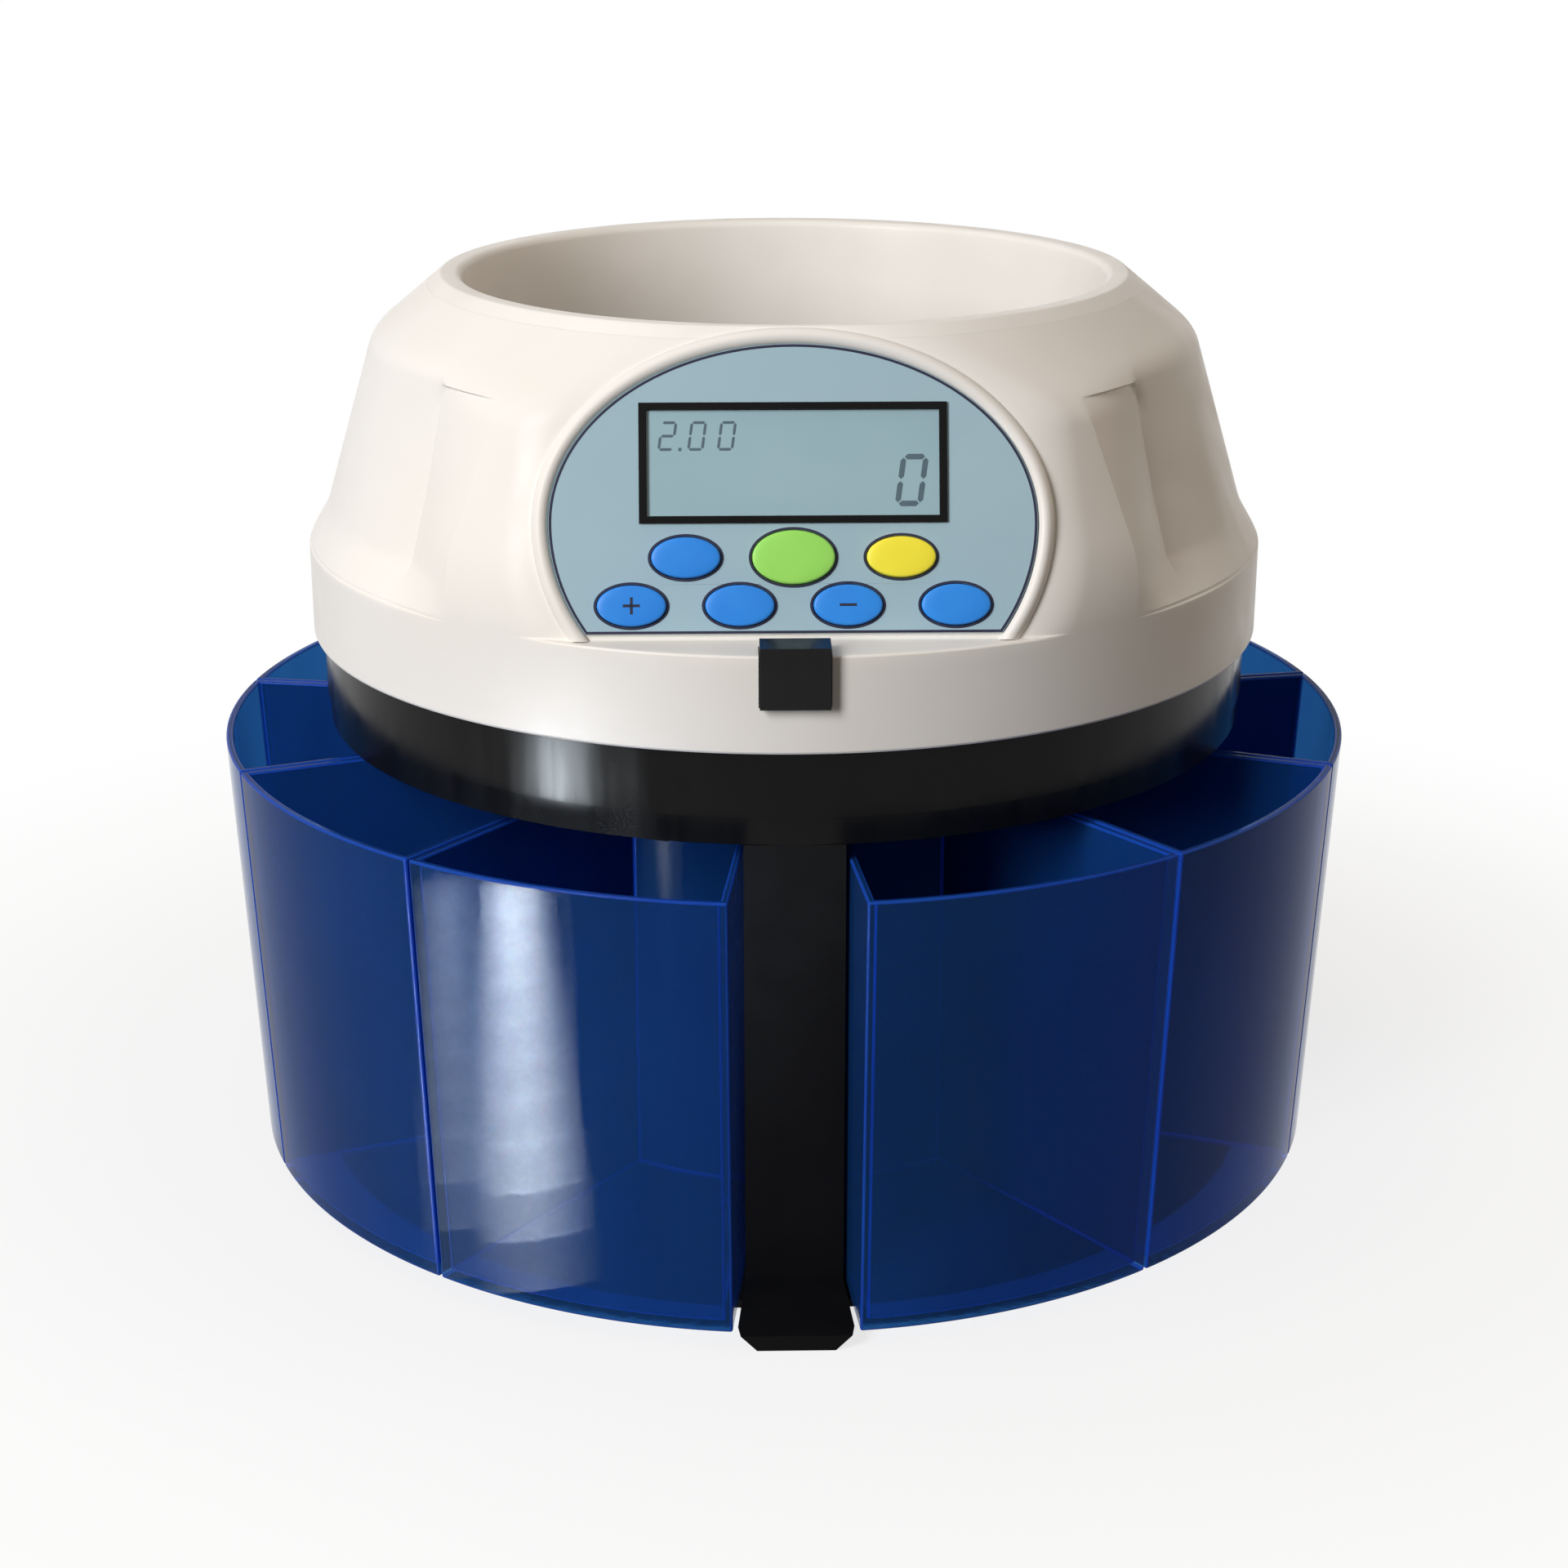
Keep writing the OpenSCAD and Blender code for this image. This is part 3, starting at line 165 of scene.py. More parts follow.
def add_mesh(name, verts, faces, sharp=SHARP):
    """New object from points in millimetres, shaded smooth up to an angle, faces turned outwards."""
    mesh = bpy.data.meshes.new(name)
    mesh.from_pydata([tuple(c * MM for c in v) for v in verts], [], faces)
    tidy = bmesh.new()
    tidy.from_mesh(mesh)
    bmesh.ops.recalc_face_normals(tidy, faces=tidy.faces)
    tidy.to_mesh(mesh)
    tidy.free()
    obj = bpy.data.objects.new(name, mesh)
    bpy.context.scene.collection.objects.link(obj)
    shade(obj, sharp)
    return obj


def shade(obj, sharp):
    """Smooth shading, except at edges sharper than an angle in degrees."""
    obj.data.polygons.foreach_set("use_smooth", [True] * len(obj.data.polygons))
    obj.data.set_sharp_from_angle(angle=radians(sharp))


def bevel(obj, width, segments=2, angle=38):
    """Rounded edges, in millimetres."""
    mod = obj.modifiers.new("edges", "BEVEL")
    mod.width = width * MM
    mod.segments = segments
    mod.limit_method = "ANGLE"
    mod.angle_limit = radians(angle)
    mod.harden_normals = True
    return mod


def dress(obj, body, slot, *materials, replaced=()):
    """Gives a new piece its materials (the finish of its slot unless others are given), hangs it on its body
    and hides the nodes it replaces.
    """
    for material in materials or (FINISH[slot],):
        obj.data.materials.append(material)
    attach(obj, body)
    if replaced:
        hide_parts(*replaced)


def loft(rings):
    """Points and faces of a closed tube through rings of equal length, with end caps."""
    n = len(rings[0])
    verts = [p for ring in rings for p in ring]
    faces = []
    for k in range(len(rings) - 1):
        for j in range(n):
            a, b = k * n + j, k * n + (j + 1) % n
            faces.append((a, b, b + n, a + n))
    faces.append(tuple(range(n - 1, -1, -1)))
    faces.append(tuple(range((len(rings) - 1) * n, len(rings) * n)))
    return verts, faces


def torus_grid(points):
    """Points and faces of a grid that closes both ways; points[row][column]."""
    rows, cols = len(points), len(points[0])
    verts = [p for row in points for p in row]
    faces = []
    for i in range(rows):
        for j in range(cols):
            i2, j2 = (i + 1) % rows, (j + 1) % cols
            faces.append((i * cols + j, i * cols + j2, i2 * cols + j2, i2 * cols + j))
    return verts, faces


def arc(centre, radius, start, end, steps):
    """Points of an arc in a plane, angles in degrees."""
    angles = [radians(start + (end - start) * k / steps) for k in range(steps + 1)]
    return [(centre[0] + radius * cos(a), centre[1] + radius * sin(a)) for a in angles]


def ellipse(x, y, w, h, steps=72):
    """Outline of an upright ellipse from its middle and its widths."""
    angles = [2 * pi * k / steps for k in range(steps)]
    return [(x + w / 2 * cos(a), y + h / 2 * sin(a)) for a in angles]


def arch(grow, foot=0.0):
    """Outline of the panel, grown all round and cut off flat at a height."""
    dip = asin((PANEL_MID - foot) / (PANEL_LOW + grow))
    angles = [-dip + (pi + 2 * dip) * k / ARCH_STEPS for k in range(ARCH_STEPS + 1)]
    return [((PANEL_HALF + grow) * cos(a),
             PANEL_MID + ((PANEL_RISE if sin(a) > 0 else PANEL_LOW) + grow) * sin(a)) for a in angles]


def rectangle(x, y, w, h):
    """Outline of an upright rectangle from its middle and its widths."""
    return [(x - w / 2, y - h / 2), (x + w / 2, y - h / 2), (x + w / 2, y + h / 2), (x - w / 2, y + h / 2)]


def on_panel(points):
    """Points of the panel's frame, in the object's frame."""
    return [tuple(PANEL @ Vector(p)) for p in points]


def panel_plates(name, shapes):
    """Flat plates on the panel: each shape is (outlines, lowest z, highest z), holes among the outlines."""
    verts, faces = [], []
    for outlines, z0, z1 in shapes:
        curve = bpy.data.curves.new(name, "CURVE")
        curve.dimensions = "2D"
        curve.fill_mode = "BOTH"
        curve.extrude = (z1 - z0) / 2
        for outline in outlines:
            spline = curve.splines.new("POLY")
            spline.points.add(len(outline) - 1)
            for point, (x, y) in zip(spline.points, outline):
                point.co = (x, y, 0, 1)
            spline.use_cyclic_u = True
        holder = bpy.data.objects.new(name, curve)
        bpy.context.scene.collection.objects.link(holder)
        flat = holder.evaluated_get(bpy.context.evaluated_depsgraph_get()).to_mesh()
        start = len(verts)
        verts += on_panel([(v.co.x, v.co.y, v.co.z + (z0 + z1) / 2) for v in flat.vertices])
        faces += [tuple(start + i for i in face.vertices) for face in flat.polygons]
        bpy.data.objects.remove(holder)
        bpy.data.curves.remove(curve)
    obj = add_mesh(name, verts, faces)
    weld = bmesh.new()
    weld.from_mesh(obj.data)
    bmesh.ops.remove_doubles(weld, verts=weld.verts, dist=WELD * MM)
    bmesh.ops.recalc_face_normals(weld, faces=weld.faces)
    weld.to_mesh(obj.data)
    weld.free()
    shade(obj, SHARP)
    return obj


# Materials

NOISE_ROUGH = 0.55
PATCHES = (0.35, 0.7)
SHEEN = (0.3, 0.7)


def screen(r, g, b):
    """A colour given as 0 to 255 screen values, in the linear values that shaders take."""
    def linear(c):
        c /= 255
        return c / 12.92 if c <= 0.04045 else ((c + 0.055) / 1.055) ** 2.4
    return (linear(r), linear(g), linear(b), 1.0)


class Surface:
    """A Principled material with its detail built from noise in the frame's own space."""

    def __init__(self, name, colour, rough, metallic=0.0, specular=0.5, transmission=0.0, ior=1.46):
        self.name = name
        self.material = bpy.data.materials.new(name)
        self.material.use_nodes = True
        self.tree = self.material.node_tree
        self.bsdf = next(n for n in self.tree.nodes if n.type == "BSDF_PRINCIPLED")
        self.colour = colour
        for socket, value in (("Base Color", colour), ("Roughness", rough), ("Metallic", metallic),
                              ("Specular IOR Level", specular), ("Transmission Weight", transmission),
                              ("IOR", ior)):
            self.bsdf.inputs[socket].default_value = value
        self.space = self.tree.nodes.new("ShaderNodeTexCoord").outputs["Object"]
        self.bumped = None

    def link(self, source, target):
        """Joins one socket to another."""
        self.tree.links.new(source, target)

    def noise(self, scale, detail=3.0, stretch=(1, 1, 1)):
        """Noise of about 1 / scale metres, drawn out along the axes by the stretch."""
        mapping = self.tree.nodes.new("ShaderNodeMapping")
        mapping.inputs["Scale"].default_value = [1 / s for s in stretch]
        self.link(self.space, mapping.inputs["Vector"])
        noise = self.tree.nodes.new("ShaderNodeTexNoise")
        noise.inputs["Scale"].default_value = scale
        noise.inputs["Detail"].default_value = detail
        noise.inputs["Roughness"].default_value = NOISE_ROUGH
        self.link(mapping.outputs["Vector"], noise.inputs["Vector"])
        return noise.outputs["Fac"]

    def between(self, source, taken, given):
        """Maps a range of values to another one."""
        node = self.tree.nodes.new("ShaderNodeMapRange")
        for socket, value in zip(("From Min", "From Max", "To Min", "To Max"), (*taken, *given)):
            node.inputs[socket].default_value = value
        self.link(source, node.inputs["Value"])
        return node.outputs["Result"]

    def mottle(self, scale, other, amount=1.0, **shape):
        """Drifts the base colour towards another one in soft patches."""
        mix = self.tree.nodes.new("ShaderNodeMix")
        mix.data_type = "RGBA"
        sockets = {s.identifier: s for s in mix.inputs}
        sockets["B_Color"].default_value = other
        base = self.bsdf.inputs["Base Color"]
        if base.is_linked:
            self.link(base.links[0].from_socket, sockets["A_Color"])
        else:
            sockets["A_Color"].default_value = self.colour
        self.link(self.between(self.noise(scale, **shape), PATCHES, (0.0, amount)), sockets["Factor_Float"])
        self.link(next(s for s in mix.outputs if s.identifier == "Result_Color"), base)
        return self

    def polish(self, scale, least, most, **shape):
        """Varies the roughness."""
        varied = self.between(self.noise(scale, **shape), SHEEN, (least, most))
        self.link(varied, self.bsdf.inputs["Roughness"])
        return self

    def grain(self, scale, depth, strength=0.4, **shape):
        """Adds a fine relief, its depth in millimetres."""
        bump = self.tree.nodes.new("ShaderNodeBump")
        bump.inputs["Strength"].default_value = strength
        bump.inputs["Distance"].default_value = depth * MM
        self.link(self.noise(scale, **shape), bump.inputs["Height"])
        if self.bumped:
            self.link(self.bumped, bump.inputs["Normal"])
        self.bumped = bump.outputs["Normal"]
        self.link(self.bumped, self.bsdf.inputs["Normal"])
        return self


UPRIGHT = (1, 1, 30)

# Each finish: colour and roughness; patches of another colour, a varied roughness and a fine relief
white = Surface("white_plastic", screen(236, 233, 229), 0.38, specular=0.24)
white.mottle(9, screen(229, 223, 214), 0.7).polish(60, 0.3, 0.46).grain(1800, 0.05, 0.25)
bowl = Surface("bowl_plastic", screen(238, 235, 230), 0.42, specular=0.4)
bowl.mottle(14, screen(226, 220, 212), 0.6).polish(80, 0.32, 0.5, stretch=UPRIGHT).grain(1500, 0.05, 0.25)
gloss = Surface("black_gloss", (0.003, 0.0028, 0.0028, 1), 0.2, specular=0.12)
gloss.mottle(26, (0.008, 0.0072, 0.0068, 1), 0.6).polish(120, 0.12, 0.26, stretch=(1, 1, 12))
gloss.grain(500, 0.02, 0.1)
matte = Surface("black_matte", (0.0035, 0.0035, 0.004, 1), 0.5, specular=0.06)
matte.mottle(30, (0.006, 0.006, 0.0065, 1), 0.6).polish(90, 0.42, 0.6).grain(1300, 0.1, 0.4)
satin = Surface("latch_plastic", (0.006, 0.006, 0.0065, 1), 0.3, specular=0.16)
satin.mottle(40, (0.009, 0.009, 0.0095, 1), 0.6).polish(120, 0.24, 0.38).grain(1300, 0.04, 0.2)
rubber = Surface("rubber", (0.018, 0.018, 0.018, 1), 0.8, specular=0.25)
rubber.mottle(60, (0.03, 0.029, 0.028, 1)).grain(900, 0.2, 0.6)
blue = Surface("blue_clear", (0.019, 0.125, 0.385, 1), 0.08, specular=0.5, transmission=0.82, ior=1.1)
blue.mottle(16, (0.011, 0.085, 0.29, 1), 0.9, stretch=(1, 1, 3)).mottle(7, (0.026, 0.155, 0.43, 1), 0.5)
blue.mottle(420, (0.05, 0.14, 0.36, 1), 0.15, stretch=(1, 1, 40)).polish(260, 0.02, 0.13, stretch=(1, 1, 40))
blue.grain(300, 0.1, 0.3, stretch=(1, 1, 60))
# Painted edge glow: the boxes' rounded edges take a deeper, less clear blue that stands in for light carried
# along the clear plastic
painted_edge_glow = Surface("painted_edge_glow", (0.012, 0.08, 0.46, 1), 0.16, specular=0.5, transmission=0.3, ior=1.12)
painted_edge_glow.mottle(40, (0.012, 0.055, 0.42, 1), 0.7).polish(200, 0.1, 0.22)
steel = Surface("steel", (0.58, 0.585, 0.59, 1), 0.28, metallic=1.0)
steel.mottle(40, (0.46, 0.465, 0.47, 1), 0.6).polish(300, 0.2, 0.38, stretch=(10, 1, 1))
steel.grain(1500, 0.02, 0.3)
cast = Surface("cast_bracket", (0.45, 0.46, 0.475, 1), 0.5, metallic=1.0)
cast.mottle(50, (0.36, 0.365, 0.37, 1)).grain(700, 0.15, 0.5)
varnish = Surface("transformer_steel", (0.1, 0.075, 0.055, 1), 0.35, specular=0.5)
varnish.mottle(70, (0.05, 0.042, 0.038, 1)).grain(900, 0.2, 0.5, stretch=(12, 1, 12))
board = Surface("circuit_board", (0.02, 0.13, 0.06, 1), 0.32, specular=0.5)
board.mottle(260, (0.035, 0.2, 0.09, 1), 0.9, detail=0.0).grain(400, 0.05, 0.4)
film = Surface("panel_print", screen(161, 188, 199), 0.42, specular=0.35)
film.mottle(20, screen(153, 181, 193), 0.7).polish(70, 0.34, 0.5).grain(2200, 0.02, 0.25)
glass = Surface("display_glass", screen(154, 184, 193), 0.14, specular=0.45)
glass.mottle(22, screen(143, 174, 186), 0.8).polish(50, 0.1, 0.18)
disc = Surface("disc_plastic", (0.035, 0.035, 0.04, 1), 0.42, specular=0.45)
disc.mottle(25, (0.041, 0.0405, 0.043, 1), 0.6).polish(260, 0.36, 0.48).grain(1400, 0.05, 0.3)
acetal = Surface("gear_plastic", (0.72, 0.68, 0.58, 1), 0.4, specular=0.45)
acetal.mottle(50, (0.6, 0.55, 0.45, 1), 0.6).grain(800, 0.05, 0.3)
brass = Surface("pinion_brass", (0.68, 0.47, 0.17, 1), 0.26, metallic=1.0)
brass.mottle(120, (0.5, 0.33, 0.12, 1), 0.6).polish(500, 0.2, 0.36)
key_blue = Surface("key_blue", screen(45, 140, 232), 0.36, specular=0.4)
key_blue.mottle(70, screen(38, 126, 220), 0.7).grain(1600, 0.03, 0.3)
key_green = Surface("key_green", screen(158, 226, 102), 0.36, specular=0.4)
key_green.mottle(70, screen(146, 216, 92), 0.7).grain(1600, 0.03, 0.3)
key_yellow = Surface("key_yellow", screen(250, 236, 66), 0.36, specular=0.4)
key_yellow.mottle(70, screen(244, 226, 56), 0.7).grain(1600, 0.03, 0.3)
red = Surface("rocker_red", (0.33, 0.012, 0.01, 1), 0.25, specular=0.5)
red.mottle(80, (0.25, 0.01, 0.008, 1), 0.6).polish(200, 0.18, 0.34)
ink = Surface("panel_ink", screen(30, 30, 52), 0.45, specular=0.3)
ink.mottle(300, screen(44, 46, 70), 0.6)
segment = Surface("display_segment", screen(88, 108, 118), 0.3, specular=0.3)
segment.mottle(200, screen(78, 98, 110), 0.7)

FINISH = {s.name: s.material for s in (
    white, bowl, gloss, matte, rubber, blue, steel, cast, varnish, board, film, glass, disc, acetal, brass,
    key_blue, key_green, key_yellow, red)}

# CAD nodes that keep their shape: the finish of their slot, and edges that catch the light

EDGE = {"lower_ring": 0.5, "upper_ring": 0.6, "front_pillar": 0.8, "rear_cabinet": 0.8, "base_plate": 0.4,
        "rear_panel": 0.3, "power_inlet": 0.5, "switch_body": 0.5, "power_rocker": 0.5, "lcd_bezel": 0.25,
        "latch_button": 1.0, "hinge_bracket": 0.5, "hinge_leaf": 0.5, "coin_disc": 0.4, "hub_cap": 0.8,
        "leaf_screws": 0.3, "chassis_screws": 0.3, "rubber_feet": 0.5, "motor": 0.8, "gearbox": 0.6,
        "transformer": 0.4}
for row in frame["record"]["subparts"]:
    node = frame["nodes"][row["node"]]
    for place in node.material_slots:
        place.material = FINISH[row["material_slot"]]
    if row["node"] in EDGE:
        bevel(node, EDGE[row["node"]])

for place in frame["nodes"]["latch_button"].material_slots:
    place.material = satin.material

# Top housing: one skin over the whole dome, with a raised front (console) and a recess on each side of it

CONSOLE_EDGE = 41.0
CONSOLE_LEAN = 3.0
CONSOLE_LEAN_Z = SHELF_Z + 18
CONSOLE_DRAWN = 12.0
RECESS_EDGE = 51.3
RECESS_FADE = 66.0
RECESS_DEEP = 3.4
RECESS_TOP = SHOULDER_Z - 3
RECESS_STEP = 0.4
RECESS_TOP_SHARE = 0.5
RECESS_SINK = 30.0
TOP_FADE = 14.0
TOP_FADE_START, TOP_FADE_END = RECESS_EDGE - 1.2, RECESS_EDGE + 2
FLANK_END = RECESS_EDGE + 4
FRONT_LEAN = 0.354
FRONT_ROUND = 24.0
FRONT_BLEND = 4.0
WAIST_BLEND = 0.8
SHOULDER_BLEND = 3.0
SHELF_BLEND = 1.0
LEDGE_SLOPE = 0.59
SIDE_LEAN = (WAIST_R - SHOULDER_R) / (SHOULDER_Z - WAIST_Z)
RIM_SLOPE = (SHOULDER_R - RIM_R) / (RIM_Z - SHOULDER_Z)
CREASES = [-RECESS_EDGE, -CONSOLE_EDGE, CONSOLE_EDGE, RECESS_EDGE]
FRONT_TURN = 54
FRONT_COLUMNS, BACK_COLUMNS = 216, 90
SKIN_TURNS = np.sort(np.concatenate([np.linspace(-180, -FRONT_TURN, BACK_COLUMNS, endpoint=False),
                                     np.linspace(-FRONT_TURN, FRONT_TURN, FRONT_COLUMNS, endpoint=False),
                                     np.linspace(FRONT_TURN, 180, BACK_COLUMNS, endpoint=False), CREASES]))
SKIRT_ROWS, DOME_ROWS, INSIDE_ROWS, SKIRT_INSIDE_ROWS = 9, 100, 26, 6
FOOT_EDGE, FOOT_EDGE_MID = 0.8, 0.25
EDGE_R = 1.0
EDGE_SHARE = 0.45
THROAT_EDGE = 0.3
INSIDE_TOP = RIM_Z - 1.4 * SHELL_T
INSIDE_STEP = 0.5
SKIN_SHARP = 11
PANEL_BLEND = 6.0
LEAST_COS = 0.05


def console_edge(z):
    """Angle of the raised front's edge, which leans inwards on its way up."""
    return CONSOLE_EDGE - CONSOLE_LEAN * ramp(z, CONSOLE_LEAN_Z, RECESS_TOP)


def skin_turns(z):
    """Angles of the skin's columns at a height, kept along that edge."""
    away = np.abs(SKIN_TURNS)
    near = np.minimum(ramp(away, CONSOLE_EDGE - CONSOLE_DRAWN, CONSOLE_EDGE),
                      1 - ramp(away, CONSOLE_EDGE, RECESS_EDGE))
    return SKIN_TURNS - np.sign(SKIN_TURNS) * near * (CONSOLE_EDGE - console_edge(z))


def dome_radius(phi, z):
    """Radius of the dome's outside, without the panel, at an angle in degrees and a height."""
    away = np.abs(phi)
    slope = SHOULDER_R - RIM_SLOPE * (z - SHOULDER_Z)
    up = np.maximum(z - SHELF_Z, 0)
    front = SKIRT_R - FRONT_LEAN * np.where(up < FRONT_ROUND, up * up / 2 / FRONT_ROUND, up - FRONT_ROUND / 2)
    front = soft_min(front, slope, FRONT_BLEND)
    fade = RECESS_STEP + TOP_FADE * ramp(away, TOP_FADE_START, TOP_FADE_END)
    under = ease(ramp(-z, -RECESS_TOP - fade, -RECESS_TOP + fade))
    sunk = RECESS_TOP_SHARE + (1 - RECESS_TOP_SHARE) * ramp(RECESS_TOP - z, 0, RECESS_SINK)
    deep = RECESS_DEEP * under * sunk * (1 - ramp(away, RECESS_EDGE, RECESS_FADE))
    wall = WAIST_R - SIDE_LEAN * (z - WAIST_Z) - deep
    ledge = SKIRT_R - (LEDGE_SLOPE + deep / (WAIST_Z - SHELF_Z)) * (z - SHELF_Z)
    side = soft_min(soft_max(ledge, wall, WAIST_BLEND), slope, SHOULDER_BLEND)
    side = soft_min(SKIRT_R, side, SHELF_BLEND)
    flank = ramp(away, console_edge(z), RECESS_EDGE)
    blend = ease(ramp(away, console_edge(z), FLANK_END))
    return front + (side - front) * (blend + (flank - blend) * under)


def panel_cut(radius, phi, z):
    """A radius at an angle and a height, kept behind the flat of the panel."""
    up = (z - PANEL_Z) / cos(PANEL_TILT)
    flat = (PANEL_Y - up * sin(PANEL_TILT)) / np.maximum(np.cos(np.radians(phi)), LEAST_COS)
    return soft_min(radius, flat, PANEL_BLEND)


def skin_radius(phi, z):
    """Radius of the housing's outside above the shelf."""
    return panel_cut(dome_radius(phi, z), phi, z)


def housing_skin():
    """Rows of the skin from the skirt's foot up the outside, over the rim and down the inside."""
    phi = SKIN_TURNS
    one = np.ones(len(phi))
    rows = [(phi, one * (SKIRT_R - FOOT_EDGE), one * SKIRT_Z),
            (phi, one * (SKIRT_R - FOOT_EDGE_MID), one * (SKIRT_Z + FOOT_EDGE_MID))]
    for z in np.linspace(SKIRT_Z + FOOT_EDGE, SHELF_Z - EDGE_R, SKIRT_ROWS):
        rows.append((phi, one * SKIRT_R, one * z))
    upper = skin_radius(phi, one * (SHELF_Z + EDGE_R))
    turn = np.minimum(EDGE_R, EDGE_SHARE * (SKIRT_R - upper))
    for t in (0.25, 0.5, 0.75, 1.0):
        rows.append((phi, SKIRT_R - turn * t * t, SHELF_Z - EDGE_R * (1 - t) ** 2 * one))
    for t in (0.2, 0.4, 0.6, 0.8):
        rows.append((phi, SKIRT_R - turn + (upper + 2 * turn - SKIRT_R) * t, one * SHELF_Z))
    for t in (0.0, 0.25, 0.5, 0.75):
        rows.append((phi, upper + turn * (1 - t) ** 2, SHELF_Z + EDGE_R * t * t * one))
    steps = [RECESS_TOP - RECESS_STEP, RECESS_TOP + RECESS_STEP]
    for z in np.sort(np.append(np.linspace(SHELF_Z + EDGE_R, RIM_Z, DOME_ROWS), steps)):
        rows.append((skin_turns(z), skin_radius(skin_turns(z), one * z), one * z))
    rows.append((skin_turns(RIM_Z), one * (THROAT_R + THROAT_EDGE), one * RIM_Z))
    rows.append((skin_turns(RIM_Z), one * THROAT_R, one * (RIM_Z - THROAT_EDGE)))
    for z in np.linspace(INSIDE_TOP, SHELF_Z - SHELL_T, INSIDE_ROWS):
        bent = skin_turns(z)
        inner = np.minimum(skin_radius(bent, one * max(z, SHELF_Z)), skin_radius(bent, one * (z + SHELL_T)))
        rows.append((bent, inner - SHELL_T, one * z))
    for z in np.linspace(SHELF_Z - SHELL_T - INSIDE_STEP, SKIRT_Z, SKIRT_INSIDE_ROWS):
        rows.append((phi, one * (SKIRT_R - SHELL_T), one * z))
    return torus_grid([np.stack([r * np.sin(np.radians(a)), -r * np.cos(np.radians(a)), z], axis=1).tolist()
                       for a, r, z in rows])


def prism(outline, z0, z1):
    """Points and faces of an upright prism on the panel."""
    return loft([on_panel([(x, y, z) for x, y in outline]) for z in (z0, z1)])


def box_mesh(lo, hi):
    """Points and faces of a block between two corners."""
    return loft([[(lo[0], lo[1], z), (hi[0], lo[1], z), (hi[0], hi[1], z), (lo[0], hi[1], z)]
                 for z in (lo[2], hi[2])])


def join(*meshes):
    """Points and faces of several meshes as one."""
    verts, faces = [], []
    for more, sides in meshes:
        faces += [tuple(i + len(verts) for i in side) for side in sides]
        verts += more
    return verts, faces


# Openings for the display, the keys and the latch
CUT_LOW, CUT_HIGH = -9, 6
LATCH_ROOM = 0.3
LATCH_TRAVEL = 2.5
LATCH_HALF = 9.5
LATCH_OVER = 3.0
LATCH_TALL = 17.0
LATCH_Z = SHELF_Z + LATCH_OVER - LATCH_TALL
LATCH_DEEP = 10.0
LATCH_AHEAD = 1.0
latch_low, latch_high = low("latch_button"), high("latch_button")
key_holes = [ellipse(x, y, w + 2 * KEY_GAP, h + 2 * KEY_GAP) for x, y, w, h, _ in KEYS.values()]
lcd_hole = rectangle(0, LCD_MID, LCD_W - 2 * LCD_BORDER, LCD_H - 2 * LCD_BORDER)
cutters = [prism(outline, CUT_LOW, CUT_HIGH) for outline in [lcd_hole] + key_holes]
cutters.append(box_mesh((-LATCH_HALF - LATCH_ROOM, latch_low.y - LATCH_AHEAD, LATCH_Z - LATCH_ROOM),
                        (LATCH_HALF + LATCH_ROOM, latch_low.y + LATCH_DEEP + LATCH_TRAVEL + LATCH_ROOM,
                         latch_high.z + LATCH_ROOM)))
skin = add_mesh("housing_shell", *housing_skin(), sharp=SKIN_SHARP)
cutter = add_mesh("cutter", *join(*cutters))
cut = skin.modifiers.new("openings", "BOOLEAN")
cut.operation = "DIFFERENCE"
cut.solver = "EXACT"
cut.object = cutter
opened = bpy.data.meshes.new_from_object(skin.evaluated_get(bpy.context.evaluated_depsgraph_get()))
skin.modifiers.clear()
skin.data = opened
bpy.data.objects.remove(cutter)
shade(skin, SKIN_SHARP)
dress(skin, "cover", "white_plastic", replaced=["top_housing"])

# Posts behind the panel that carry the display board and the key board

POST_R = 2.0
POST_SIDES = 32
POST_TOP = -1.5
BACKLIGHT_BACK = -4.4
KEY_BOARD_TOP = -7.3
BOARD_LAP = 3.0
post_x = (PITCH_HIGH - KEY_W / 2 + BIG_W / 2) / 2
key_posts = [(-post_x, ROW_HIGH), (post_x, ROW_HIGH),
             (-PITCH_LOW, ROW_LOW), (0, ROW_LOW), (PITCH_LOW, ROW_LOW)]
lap_x = (LCD_W - 2 * LCD_BORDER + BOARD_LAP) / 2
lap_y = (LCD_H - 2 * LCD_BORDER + BOARD_LAP) / 2
corners = [(sx * lap_x, LCD_MID + sy * lap_y) for sx in (-1, 1) for sy in (-1, 1)]
post_rows = ((key_posts, 2 * POST_R, KEY_BOARD_TOP), (corners, BOARD_LAP, BACKLIGHT_BACK))
posts = [prism(ellipse(x, y, wide, wide, POST_SIDES), back, POST_TOP)
         for places, wide, back in post_rows for x, y in places]
dress(add_mesh("board_posts", *join(*posts)), "cover", "white_plastic")

# Hopper with its rolled lip

LIP_TOP = 3.2
LIP_EDGE = 1.5
LIP_ROUND = 2.4
LIP_FLAT = 2
LIP_END = 176
LIP_SET = 0.2
LIP_INSET, LIP_LIFT = 0.1, 0.02
BOWL_TOP = RIM_Z - 0.05
BOWL_EDGE, BOWL_EDGE_MID = 1.0, 0.3
BOWL_ROWS, BOWL_COLUMNS = 12, 240
BOWL_SHARP = 50
edge_z = RIM_Z + LIP_TOP - LIP_EDGE
edge_turn = atan(RIM_SLOPE)
edge_r = RIM_R - RIM_SLOPE * (edge_z + LIP_EDGE * sin(edge_turn) - RIM_Z) - LIP_EDGE * cos(edge_turn)
lip = [(RIM_R - LIP_INSET, RIM_Z + LIP_LIFT)]
lip += arc((edge_r, edge_z), LIP_EDGE, degrees(edge_turn), 90 - LIP_FLAT, 8)
lip += arc((BOWL_R + LIP_ROUND + LIP_SET, RIM_Z + LIP_TOP - LIP_ROUND), LIP_ROUND, 90 + LIP_FLAT, LIP_END, 12)
bowl_slope = (BOWL_R - BOWL_LOW_R) / (RIM_Z - BOWL_Z)
